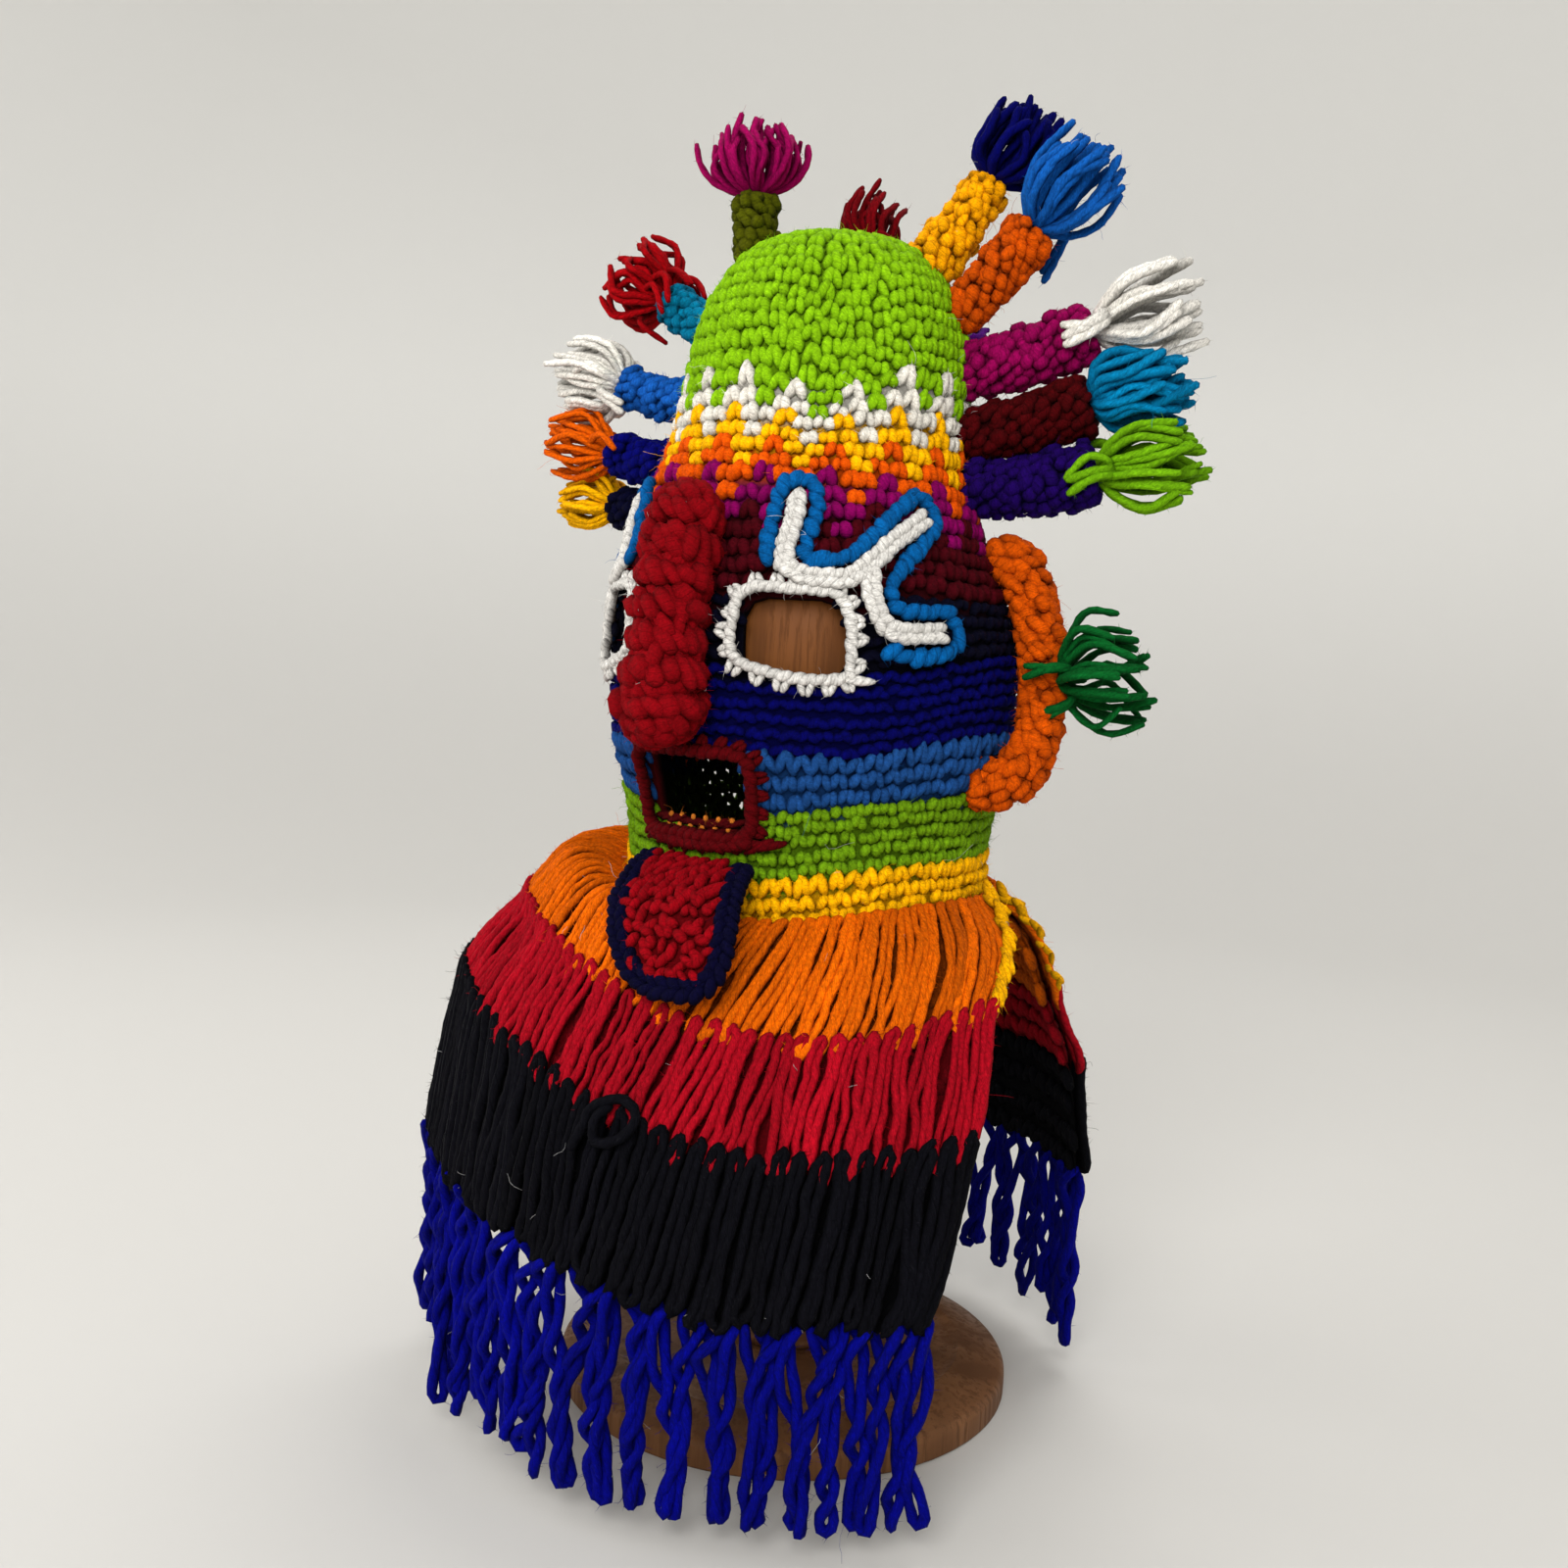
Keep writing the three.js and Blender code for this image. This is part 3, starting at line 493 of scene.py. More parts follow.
def wool(name, twist, ply, fibre, relief=0.6):
    """Dyed wool whose colour, with the painted shade baked into it, and strand places come with the mesh.
    twist is in radians a millimetre, ply is how deep the groove between the plies looks in its bump and its
    painted shade, and fibre how many pale flecks there are."""
    material = bpy.data.materials.new(name)
    material.use_nodes = True
    tree = material.node_tree
    settings = {
        "Yarn": node(tree, "Attribute", attribute_name="yarn").outputs["Color"],
        "Strand": node(tree, "Attribute", attribute_name="strand").outputs["Vector"],
        "Twist": twist, "Ply": ply, "Fibre": fibre,
    }
    spun = node(tree, "Group", settings, node_tree=wool_yarn)
    bump = node(tree, "Bump", {"Height": spun.outputs["Height"], "Strength": relief, "Distance": 0.0007})
    shader = tree.nodes["Principled BSDF"]
    tree.links.new(spun.outputs["Colour"], shader.inputs["Base Color"])
    tree.links.new(spun.outputs["Roughness"], shader.inputs["Roughness"])
    tree.links.new(bump.outputs["Normal"], shader.inputs["Normal"])
    shader.inputs["Specular IOR Level"].default_value = 0.06
    return material


def dyed(red, green, blue):
    """A yarn's colour, from its numbers on a screen to how much light it gives back."""
    return (np.array([red, green, blue]) / 255.0) ** 2.2


NO_TRIANGLES = np.zeros((0, 3), int)


class WoolPiece:
    """One piece of yarn work while it is made: points and faces, colours and places along the strand."""

    def __init__(self):
        self.points, self.quads, self.triangles, self.colours, self.strands = [], [], [], [], []
        self.count = 0

    def add(self, points, quads, triangles, colours, strands):
        """Adds points with a colour and a strand place each, and faces between them."""
        self.points.append(points.reshape(-1, 3))
        self.quads.append(quads.reshape(-1, 4) + self.count)
        self.triangles.append(triangles.reshape(-1, 3) + self.count)
        self.colours.append(colours.reshape(-1, 3))
        self.strands.append(strands.reshape(-1, 3))
        self.count += self.points[-1].shape[0]

    def made(self, name, material):
        """The finished object."""
        quads, triangles = np.vstack(self.quads), np.vstack(self.triangles)
        corners = np.concatenate([quads.ravel(), triangles.ravel()]).astype(np.int32)
        sizes = np.concatenate([np.full(len(quads), 4), np.full(len(triangles), 3)])
        mesh = bpy.data.meshes.new(name)
        mesh.vertices.add(self.count)
        mesh.vertices.foreach_set("co", (np.vstack(self.points) * MM).astype(np.float32).ravel())
        mesh.loops.add(len(corners))
        mesh.loops.foreach_set("vertex_index", corners)
        mesh.polygons.add(len(sizes))
        mesh.polygons.foreach_set("loop_start", (np.cumsum(sizes) - sizes).astype(np.int32))
        mesh.polygons.foreach_set("use_smooth", np.ones(len(sizes), bool))
        mesh.update(calc_edges=True)
        colours = np.hstack([np.vstack(self.colours), np.ones((self.count, 1))]).astype(np.float32)
        mesh.attributes.new("yarn", "FLOAT_COLOR", "POINT").data.foreach_set("color", colours.ravel())
        strands = np.vstack(self.strands).astype(np.float32)
        mesh.attributes.new("strand", "FLOAT_VECTOR", "POINT").data.foreach_set("vector", strands.ravel())
        mesh.materials.append(material)
        return linked(name, mesh)


def ring_faces(count, rings, sides):
    """Faces of count tubes, each with that many rings and a point at each end."""
    size = rings * sides + 2
    index = np.arange(rings * sides).reshape(rings, sides)
    after = np.roll(index, -1, 1)
    first = np.stack([after[0], index[0], np.full(sides, rings * sides)], 1)
    last = np.stack([index[-1], after[-1], np.full(sides, rings * sides + 1)], 1)
    start = np.arange(count)[:, None, None] * size
    quads = round_faces(rings, sides)[None] + start
    triangles = np.vstack([first, last])[None] + start
    return quads.reshape(-1, 4), triangles.reshape(-1, 3)


def lay_legs(piece, middles, along, out, half, colours, seed, sides=6, rings=(-0.84, -0.34, 0.34, 0.84)):
    """Plump legs of stitches. half is half of each leg's length, width and depth."""
    rings = np.asarray(rings)
    draw = np.random.default_rng(seed)
    count = len(middles)
    out = unit(out - along * (along * out).sum(1, keepdims=True))
    across = np.cross(out, along)
    half = np.broadcast_to(half, (count, 3))
    full = (1 - np.abs(rings) ** 2.4) ** 0.5
    angles = np.arange(sides) * 2 * np.pi / sides
    wide = full[:, None] * np.cos(angles)
    deep = full[:, None] * np.sin(angles)
    long = np.repeat(rings[:, None], sides, 1)
    wide, deep, long = (
        np.concatenate([part.ravel(), ends])
        for part, ends in ((wide, (0, 0)), (deep, (0, 0)), (long, (-1, 1)))
    )
    shape = np.stack([wide, deep, long], 1)
    points = (
        middles[:, None]
        + across[:, None] * (half[:, None, 1:2] * shape[None, :, 0:1])
        + out[:, None] * (half[:, None, 2:3] * shape[None, :, 1:2])
        + along[:, None] * (half[:, None, 0:1] * shape[None, :, 2:3])
    )
    # Painted shade: darker on the side turned in, towards both ends, and towards the lower end as a painted
    # shadow under each row
    lit = np.clip(0.5 + LEG_SHADE["turn"] * deep, 0, 1)
    shade = LEG_SHADE["deepest"] + (1 - LEG_SHADE["deepest"]) * lit
    shade = shade - LEG_SHADE["ends"] * np.abs(long) ** 3 - LEG_SHADE["bottom"] * (1 - long)
    tint = 1 + draw.normal(0, 0.07, (count, 1, 1))
    tones = np.broadcast_to(colours, (count, 3))[:, None] * tint * shade[None, :, None]
    strands = np.stack([half[:, None, 1] * wide, half[:, None, 2] * deep, half[:, None, 0] * long], 2)
    strands[..., 2] += draw.uniform(0, 900, (count, 1))
    quads, triangles = ring_faces(count, len(rings), sides)
    piece.add(points, quads, triangles, tones, strands)


def stitch_legs(piece, middles, along, out, colours, seed, width, tall, lean, plump=1.0, ragged=1.0,
                tip=0.0, **shape):
    """Whole stitches: two legs each, which meet at the top and stand apart below."""
    draw = np.random.default_rng(seed)
    across = np.cross(along, out)
    count = len(middles)
    width, tall, plump, lean = (
        np.broadcast_to(value, (count,))[:, None] for value in (width, tall, plump, lean)
    )
    for leg in (-1, 1):
        tilt = np.radians(lean * -leg + draw.normal(0, 6 * ragged, (count, 1)))
        outward = out * (tip + draw.normal(0, 0.05, (count, 1)))
        direction = unit(along * np.cos(tilt) + across * np.sin(tilt) + outward)
        shift = across * (leg * LEG["apart"] * width + draw.normal(0, 0.3 * ragged, (count, 1)))
        shift = shift + along * draw.normal(0, 0.3 * ragged, (count, 1))
        shift = shift + out * draw.normal(0, 0.22 * ragged, (count, 1))
        half = np.hstack([LEG["long"] * tall, LEG["wide"] * width * plump, LEG["deep"] * width * plump])
        half = half * (1 + draw.normal(0, 0.07 * ragged, (count, 3)))
        lay_legs(piece, middles + shift, direction, out, half, colours, seed + 7 * leg + 9, **shape)


def frame_on(surface, azimuth, along, out):
    """Places on a surface, with the directions up it and out of it there."""
    here = surface(azimuth, along, out)
    up = unit(surface(azimuth, along + 1.0, out) - here)
    side = surface(azimuth + 0.5, along, out) - here
    return here, up, unit(np.cross(side, up))


def outside_opening(feature, azimuth, height, side=1):
    """How far outside a feature's rounded opening a place on the hood is; less than 0 is inside."""
    turn = (azimuth - side * feature["azimuth"] + 180) % 360 - 180
    across = np.abs(np.radians(turn) * hood_radius(feature["height"]))
    across = across - feature["wide"] / 2 + feature["corner"]
    up = np.abs(height - feature["height"]) - feature["tall"] / 2 + feature["corner"]
    beyond = np.hypot(np.maximum(across, 0), np.maximum(up, 0))
    return beyond + np.minimum(np.maximum(across, up), 0) - feature["corner"]


def fallen(azimuth, height):
    """How much lower a round runs at a place than it does at the sides of the head."""
    azimuth, height = np.broadcast_arrays(azimuth, height)
    columns = np.stack([np.interp(height, DROP_HEIGHTS, column) for column in DROPS])
    at = np.interp(np.abs(azimuth), DROP_AZIMUTHS, range(len(DROPS)))
    low = np.minimum(at.astype(int), len(DROPS) - 2)
    share = at - low
    here, beyond = (np.take_along_axis(columns, (low + step)[None], 0)[0] for step in (0, 1))
    middle = np.interp(height, SAG_MIDDLE["heights"], SAG_MIDDLE["azimuths"])
    sag = np.interp(height, SAG_HEIGHTS, SAGS)
    sag = sag * np.exp(-np.abs((azimuth - middle) / SAG_MIDDLE["spread"]) ** 2.2)
    return here * (1 - share) + beyond * share + sag


def hood_rounds():
    """Every stitch of the hood: azimuth, way up, how tall and wide, its yarn's number and its band's."""
    draw = np.random.default_rng(11)
    levels = []
    first_way = along_hood(BANDS[0][1])
    crown_rounds = round((hood_length - first_way - CROWN_END) / CROWN_ROUND)
    for step in range(crown_rounds):
        way = hood_length - CROWN_END - (hood_length - CROWN_END - first_way) * (step + 0.5) / crown_rounds
        radius = np.interp(way, hood_way, hood_line[:, 0])
        count = max(7, round(2 * math.pi * radius / STITCH_WIDTH))
        levels.append((way, CROWN_ROUND, count, -1, step - crown_rounds, step))
    row = 0
    bottoms = [band[1] for band in BANDS[1:]] + [LAST_ROUND_BOTTOM]
    for number, ((_, top, rows, count), bottom) in enumerate(zip(BANDS, bottoms)):
        for step in range(rows):
            middle = top - (top - bottom) * (step + 0.5) / rows
            levels.append((along_hood(middle), (top - bottom) / rows, count, number, row, step))
            row += 1
    found = []
    for way, tall, count, number, row, step in levels:
        stitch = np.arange(count)
        shift = draw.uniform(0, 1) if number < 0 else ROUND_SLANT * row
        azimuth = (stitch + shift) * 360 / count + 7 + draw.normal(0, 0.4, count)
        azimuth = (azimuth + 180) % 360 - 180
        height = np.interp(way, hood_way, hood_line[:, 1])
        lower = way - fallen(azimuth, height) + 0.7 * np.sin(np.radians(azimuth * 3 + row * 25))
        lower = lower + draw.normal(0, 0.35, count)
        above, below = (
            fallen(azimuth, np.interp(way + beyond, hood_way, hood_line[:, 1])) for beyond in (3, -3)
        )
        squeeze = (above - below) / 6
        yarns = np.full(count, number)
        apex = (stitch + number) % POINT_STITCHES
        taller = np.full(count, 1.0)
        if 0 <= number < POINTED_BANDS and step < 2:
            own = (apex == 0) | ((apex == 2) & (step == 1))
            yarns = np.where(own, number, number - 1)
            taller = np.where(own & (step == 0), 1.25, 1.0)
        if number in LONG_STITCHES and step == 0:
            taller[:] = 1.3
        radius = np.interp(way, hood_way, hood_line[:, 0])
        lower = lower + tall * (taller - 1) * 0.3
        taller = tall * taller * (1 - np.clip(squeeze, -0.6, 0.35))
        wide = np.full(count, 2 * np.pi * radius / count)
        found.append(np.stack([azimuth, lower, taller, wide, yarns, np.full(count, number)], 1))
    return np.vstack(found)


azimuth, way, tall, wide, yarn_number, band_number = hood_rounds().T
yarn_number, band_number = yarn_number.astype(int), band_number.astype(int)
heights = np.interp(way, hood_way, hood_line[:, 1])
keep = way > -8
for feature, side in ((EYE, 1), (EYE, -1), (MOUTH, 1)):
    keep &= outside_opening(feature, azimuth, heights, side) > 1.5
palette = np.array([dyed(*YARNS[band[0]]) for band in BANDS] + [dyed(*YARNS["lime"])])
hood_colours = palette[yarn_number]
hood_wool = wool("hood_wool", twist=0.9, ply=0.3, fibre=0.4)
RIB_LEAN = 62
LEG_LEANS = {"crocheted_crown": 15, "crocheted_brow": 23, "crocheted_cheeks": 21}
HOOD_PARTS = {"crocheted_crown": (-1, -1), "crocheted_brow": (0, 4), "crocheted_cheeks": (5, 9)}
for number, (name, (first, last)) in enumerate(HOOD_PARTS.items()):
    chosen = keep & (band_number >= first) & (band_number <= last)
    part = WoolPiece()
    for behind, shape in ((False, {}), (True, COARSE)):
        turned_away = np.abs(azimuth - CAMERA_SIDE["azimuth"]) > CAMERA_SIDE["reach"]
        here = chosen & (turned_away == behind)
        middles, up, out = frame_on(hood_surface, azimuth[here], way[here], -0.5)
        ribs = np.isin(band_number[here], SMOOTH_RIBS)
        leans = np.where(ribs, RIB_LEAN, LEG_LEANS[name])
        stitch_legs(part, middles, up, out, hood_colours[here], 100 + number, wide[here], tall[here], leans,
                    plump=np.where(ribs, 1.02, 1.16), ragged=1.25, tip=0.2, **shape)
    dress(part.made(name, hood_wool), "hood_wool", "hood")

# Hood, last the fabric behind its stitches, painted dark as the shade between them, and darker still on its
# inner face as painted shade. It has the openings for the eyes and the mouth, and the wall across from the
# mouth is loose enough to let the daylight through.
BURGUNDY = (84, 4, 14)
LINING = {"outer": -1.6, "inner": -5.4, "round": 140, "tall": 80, "shade": 0.4}
LINING_LIP = 6
LOOSE_WALL = {"azimuth": -106, "height": 264, "wide": 26, "tall": 20}
MOUTH_EDGE = 5


def opening_gap(azimuth, height):
    """How far outside the nearest of the three openings a place is; less than 0 is inside one."""
    gaps = [outside_opening(EYE, azimuth, height, 1), outside_opening(EYE, azimuth, height, -1)]
    return np.minimum.reduce([*gaps, outside_opening(MOUTH, azimuth, height)])


lining_azimuth, lining_way = np.meshgrid(
    np.arange(LINING["round"]) * 360 / LINING["round"] - 180,
    np.linspace(0, hood_length - 3, LINING["tall"]),
)
lining_height = np.interp(lining_way, hood_way, hood_line[:, 1])
gap = opening_gap(lining_azimuth, lining_height)
degree = np.radians(1) * hood_radius(lining_height)
slope_across = (opening_gap(lining_azimuth + 0.2, lining_height) - gap) / (0.2 * np.maximum(degree, 0.1))
slope_up = (opening_gap(lining_azimuth, lining_height + 0.2) - gap) / 0.2
loose = np.abs(lining_azimuth - LOOSE_WALL["azimuth"]) < LOOSE_WALL["wide"]
loose &= np.abs(lining_height - LOOSE_WALL["height"]) < LOOSE_WALL["tall"]
cells = round_faces(LINING["tall"], LINING["round"])
column, row = cells[:, 0] % LINING["round"], cells[:, 0] // LINING["round"]
chink = loose.ravel()[cells].all(1) & ((column + row % 2) % 2 == 0)
cells = cells[(gap.ravel()[cells] > 0).any(1) & ~chink]
# The lining's edge is drawn on to the rim of each opening, and both of its faces are joined there
inside = np.where((gap < 0) & (gap > -LINING_LIP), -gap, 0)
lining_azimuth = lining_azimuth + inside * slope_across / np.maximum(degree, 0.1)
lining_way = lining_way + inside * slope_up
directed = np.stack([cells, np.roll(cells, -1, 1)], 2).reshape(-1, 2)
_, which, times = np.unique(np.sort(directed, 1), axis=0, return_inverse=True, return_counts=True)
rim = directed[times[which.ravel()] == 1]
far = lining_way.size
rim_faces = np.stack([rim[:, 1], rim[:, 0], rim[:, 0] + far, rim[:, 1] + far], 1)
quads = np.vstack([cells, cells[:, ::-1] + far, rim_faces])
lining_level = lining_height + fallen(lining_azimuth, lining_height)
lining_yarn = (lining_level[..., None] < np.array([top - 5 for _, top, _, _ in BANDS])).sum(-1) - 1
# Painted shade: the lining is its band's yarn darkened, and the burgundy darkened next to the mouth.
lining_colours = palette[lining_yarn].reshape(-1, 3) * LINING["shade"]
by_mouth = outside_opening(MOUTH, lining_azimuth, lining_height).ravel() < MOUTH_EDGE
lining_colours[by_mouth] = dyed(*BURGUNDY) * LINING["shade"]
lining = WoolPiece()
shells = np.vstack([
    hood_surface(lining_azimuth, lining_way, LINING[side]).reshape(-1, 3) for side in ("outer", "inner")
])
# Its inner face is darker still, painted shade inside the hood.
lining.add(shells, quads, NO_TRIANGLES, np.vstack([lining_colours, lining_colours * 0.12]), shells)
dress(lining.made("hood_lining", hood_wool), "hood_wool", "hood")

# Nose: a fat red tube crocheted in thick rounds and stuffed, sewn down the middle of the face from the
# brow to above the mouth, with a fuller round end.
NOSE_PATH = [(4, 401, 6), (4, 387, 11), (4, 352, 12), (4, 322, 15), (4, 303.5, 13)]
NOSE = {"radius": 14.5, "bulb": 17.2, "grows": (0.55, 0.85), "ring": 12.8, "ring_depth": 0.08}
NOSE_RED = (130, 9, 20)
# A tube's stitch: half its width, length and depth as shares, and how far it is sunk into the tube; then how
# far in the core lies, in stitch depths, and how dark its painted shade is
TUBE_STITCH = {"wide": 0.47, "long": 0.74, "deep": 2.5, "sunk": 0.92, "core": 1.25, "core_shade": 0.32}
TUBE_LEAN = 34
TUBE_STEPS = 240
NOSE_STEPS = 60


def lay_strands(piece, paths, radii, colours, seed, sides=6, outward=None, lobes=0.0, twist=0.5, tint=0.07,
                dark=0.42, ends=0.72):
    """Strands along lines of points: paths counts strands, then points. outward is the side painted lit,
    dark how dark the painted shade on the other is, and lobes how deep the groove between two plies is."""
    draw = np.random.default_rng(seed)
    paths = np.asarray(paths, float)
    count, rings = paths.shape[:2]
    radii = np.array(np.broadcast_to(radii, (count, rings)), float)
    radii[:, 0] *= ends
    radii[:, -1] *= ends
    along = unit(np.gradient(paths, axis=1))
    helper = np.where(np.abs(along[:, 0, 2:3]) < 0.8, [[0.0, 0.0, 1.0]], [[1.0, 0.0, 0.0]])
    normal = unit(np.cross(along[:, 0], helper))
    normals = np.empty_like(paths)
    for i in range(rings):
        normal = unit(normal - along[:, i] * (normal * along[:, i]).sum(1, keepdims=True))
        normals[:, i] = normal
    beside_them = np.cross(along, normals)
    steps = np.linalg.norm(np.diff(paths, axis=1), axis=2)
    way = np.concatenate([np.zeros((count, 1)), np.cumsum(steps, 1)], 1)
    angles = np.arange(sides) * 2 * np.pi / sides
    swell = 1 - lobes * (1 - np.abs(np.cos(angles - (twist * way)[..., None])))
    reach = radii[..., None] * swell
    facing = normals[:, :, None] * np.cos(angles)[:, None]
    facing = facing + beside_them[:, :, None] * np.sin(angles)[:, None]
    body = (paths[:, :, None] + facing * reach[..., None]).reshape(count, -1, 3)
    first_tip = paths[:, 0] - along[:, 0] * radii[:, :1] * 0.6
    last_tip = paths[:, -1] + along[:, -1] * radii[:, -1:] * 0.6
    shade = np.ones((count, rings, sides))
    # Painted shade: each strand is darker on its side turned away from outward.
    if outward is not None:
        lit = (facing * outward[:, :, None]).sum(-1)
        shade = dark + (1 - dark) * np.clip(0.5 + 0.62 * lit, 0, 1)
    colours = np.asarray(colours, float)
    colours = colours[:, None] if colours.ndim == 2 else colours
    colours = np.broadcast_to(colours, (count, rings, 3)) * (1 + draw.normal(0, tint, (count, 1, 1)))
    tones = colours[:, :, None] * shade[..., None]
    way = np.repeat((way + draw.uniform(0, 900, (count, 1)))[..., None], sides, 2)
    places = np.stack([reach * np.cos(angles), reach * np.sin(angles), way], 3)

    def with_tips(values):
        """Values for every ring's points, and then for the two tips, from the rings next to them."""
        first, last = values[:, 0].mean(1, keepdims=True), values[:, -1].mean(1, keepdims=True)
        return np.concatenate([values.reshape(count, -1, 3), first, last], 1)

    quads, triangles = ring_faces(count, rings, sides)
    points = np.concatenate([body, first_tip[:, None], last_tip[:, None]], 1)
    piece.add(points, quads, triangles, with_tips(tones), with_tips(places))


def smoothly(value, low, high):
    """0 below the low value, 1 above the high one, and a soft step between them."""
    t = np.clip((value - low) / (high - low), 0, 1)
    return t * t * (3 - 2 * t)


def tube_profile(way, radii, shoulders):
    """(way, radius) points of a stuffed tube, rounded over its shoulders to a closed end."""
    start, end = shoulders
    length = way[-1]
    quarter = np.linspace(0, np.pi / 2, 7)
    profile = [(s, r) for s, r in zip(way, radii) if start <= s <= length - end]
    if end:
        r = np.interp(length - end, way, radii)
        profile += [(length - end + end * np.sin(a), r - end + end * np.cos(a)) for a in quarter]
        profile.append((length, 0.5))
    if start:
        r = np.interp(start, way, radii)
        opening = [(start - start * np.sin(a), r - start + start * np.cos(a)) for a in quarter[::-1]]
        profile = [(0, 0.5), *opening, *profile]
    return np.array(profile)


def crochet_tube(piece, line, radii, yarn, seed, shoulders, plump, rough, lump=(6.4, 5.2)):
    """A stuffed tube crocheted in a spiral round a line of points: a core painted dark as the shade between
    the stitches, and its stitches on it.
    lump is a stitch's width and height."""
    draw = np.random.default_rng(seed)
    way = way_along(line)
    profile = tube_profile(way, radii, shoulders)
    total = np.linalg.norm(np.diff(profile, axis=0), axis=1).sum()
    profile = evenly(profile, TUBE_STEPS)
    scale = np.linspace(0, total, TUBE_STEPS + 1)
    spots = []
    rows = round(total / lump[1])
    for row in range(rows):
        here = (row + 0.5) * total / rows
        r = np.interp(here, scale, profile[:, 1])
        count = max(4, round(2 * np.pi * r / lump[0]))
        stitch = np.arange(count)
        climb = here + (stitch / count - 0.5) * total / rows + draw.normal(0, 0.2, count)
        angle = (stitch + 0.5 * (row % 2)) * 2 * np.pi / count + draw.normal(0, 0.03, count)
        spots.append(np.stack([climb, angle, np.full(count, 2 * np.pi * r / count)], 1))
    here, angle, wide = np.vstack(spots).T
    s, r = rows_at(here, scale, profile).T
    ds, dr = rows_at(here, scale, unit(np.gradient(profile, axis=0))).T[..., None]
    along = unit(np.gradient(line, axis=0))
    normal = unit(np.cross(along[0], (0.3, 0.2, 1.0)))
    normals = []
    for direction in along:
        normal = unit(normal - direction * normal.dot(direction))
        normals.append(normal)
    centre, ahead, first = (rows_at(s, way, table) for table in (line, along, normals))
    second = np.cross(ahead, first)
    radial = first * np.cos(angle)[:, None] + second * np.sin(angle)[:, None]
    out = unit(radial * ds - ahead * dr)
    up = unit(ahead * ds + radial * dr)
    deep = TUBE_STITCH["deep"] * plump
    tilt = np.radians(TUBE_LEAN + draw.normal(0, 11 * rough, len(s)))[:, None]
    direction = unit(up * np.cos(tilt) + np.cross(out, up) * np.sin(tilt))
    middles = centre + radial * np.maximum(r, 0.6)[:, None] - out * deep * TUBE_STITCH["sunk"]
    middles = middles + out * draw.normal(0, 0.45 * rough, (len(s), 1))
    middles = middles + up * draw.normal(0, 0.5 * rough, (len(s), 1))
    half_wide = np.minimum(wide, lump[0]) * TUBE_STITCH["wide"]
    half = np.stack([np.full(len(s), lump[1] * TUBE_STITCH["long"]), half_wide, np.full(len(s), deep)], 1)
    half = half * plump * (1 + draw.normal(0, 0.08 * rough, half.shape))
    lay_legs(piece, middles, direction, out, half, yarn, seed, rings=(-0.86, -0.4, 0.4, 0.86))
    core = np.maximum(np.interp(way, profile[:, 0], profile[:, 1]) - deep * TUBE_STITCH["core"], 1)
    inner = line.copy()
    inner[0] += along[0] * (shoulders[0] and 3)
    inner[-1] -= along[-1] * 3
    # Painted shade: the core is the yarn darkened, standing for the shade between the stitches.
    tone = yarn * TUBE_STITCH["core_shade"]
    lay_strands(piece, inner[None], core[None], tone, seed, sides=18, tint=0, ends=0.8)


nose_place = through(NOSE_PATH, NOSE_STEPS)
nose_line = hood_surface(nose_place[:, 0], along_hood(nose_place[:, 1]), nose_place[:, 2])
nose_line = evenly(nose_line, NOSE_STEPS)
nose_way = np.linspace(0, np.linalg.norm(np.diff(nose_line, axis=0), axis=1).sum(), NOSE_STEPS + 1)
fuller = smoothly(nose_way / nose_way[-1], *NOSE["grows"])
nose_radii = NOSE["radius"] + (NOSE["bulb"] - NOSE["radius"]) * fuller
nose_radii = nose_radii * (1 + NOSE["ring_depth"] * np.cos(nose_way * 2 * np.pi / NOSE["ring"]))
nose_piece = WoolPiece()
crochet_tube(nose_piece, nose_line, nose_radii, dyed(*NOSE_RED), 21, lump=(7.2, 6.6), shoulders=(9, 12),
             plump=1.35, rough=1.9)
nose_wool = wool("nose_wool", twist=0.8, ply=0.5, fibre=0.5)
nose = dress(nose_piece.made("crocheted_nose", nose_wool), "red_wool", "nose")

# Eye rims: a white chain worked round each eye opening, with a small loop of yarn standing out of it
# at every second stitch, and a tail of the chain at the outer corner.
EYE_RIM = [
    (-22.8, 14.7), (-15.6, 18), (0.4, 18.2), (16.8, 16.8), (21.8, 10.8), (22.8, 1.6), (22, -8.6),
    (20.9, -15.0), (10.3, -16.7), (0.5, -16.4), (-11.2, -14.2), (-21.5, -10.8), (-25.3, -5), (-24.5, 6.1),
]
EYE_LOOPS = [
    (-26.4, 18.3), (-29.3, 8.8), (-31.9, 1.2), (-30.4, -8.1), (-25.7, -16.2), (-14.8, -20.3), (-5, -22.6),
    (5.3, -23.4), (14.1, -23.4), (22.7, -21.1), (28.4, -10.3), (29.4, -0.6), (28.9, 6.7), (26.9, 14.8),
    (19.8, 22), (10.2, 23.4), (1.6, 24), (-6.6, 24), (-16.2, 23.7),
]
EYE_TAIL = [(20, -15.5), (24.5, -16.3), (28, -16.9)]
RIM = {"out": 3.2, "width": 5.5, "link": 4.6, "lean": 22}
RIM_TAIL = {"width": 4.2, "link": 5.0, "lean": 6}
WHITE = (219, 216, 211)


def on_face(feature, side, flat, out):
    """Points on the hood from (across, up) places beside a feature, mirrored for the right side."""
    return beside(feature, side, side * flat[:, 0], flat[:, 1], out)


def face_line(feature, side, points, out, count):
    """A smooth line on the hood's face through places beside a feature, and the way out of it there."""
    flat = through(points, count)
    return on_face(feature, side, flat, out), face_outward(feature, side, flat, out)


def face_outward(feature, side, flat, out):
    """Which way is out of the hood at places beside a feature."""
    return unit(on_face(feature, side, flat, out) - on_face(feature, side, flat, out - 1))


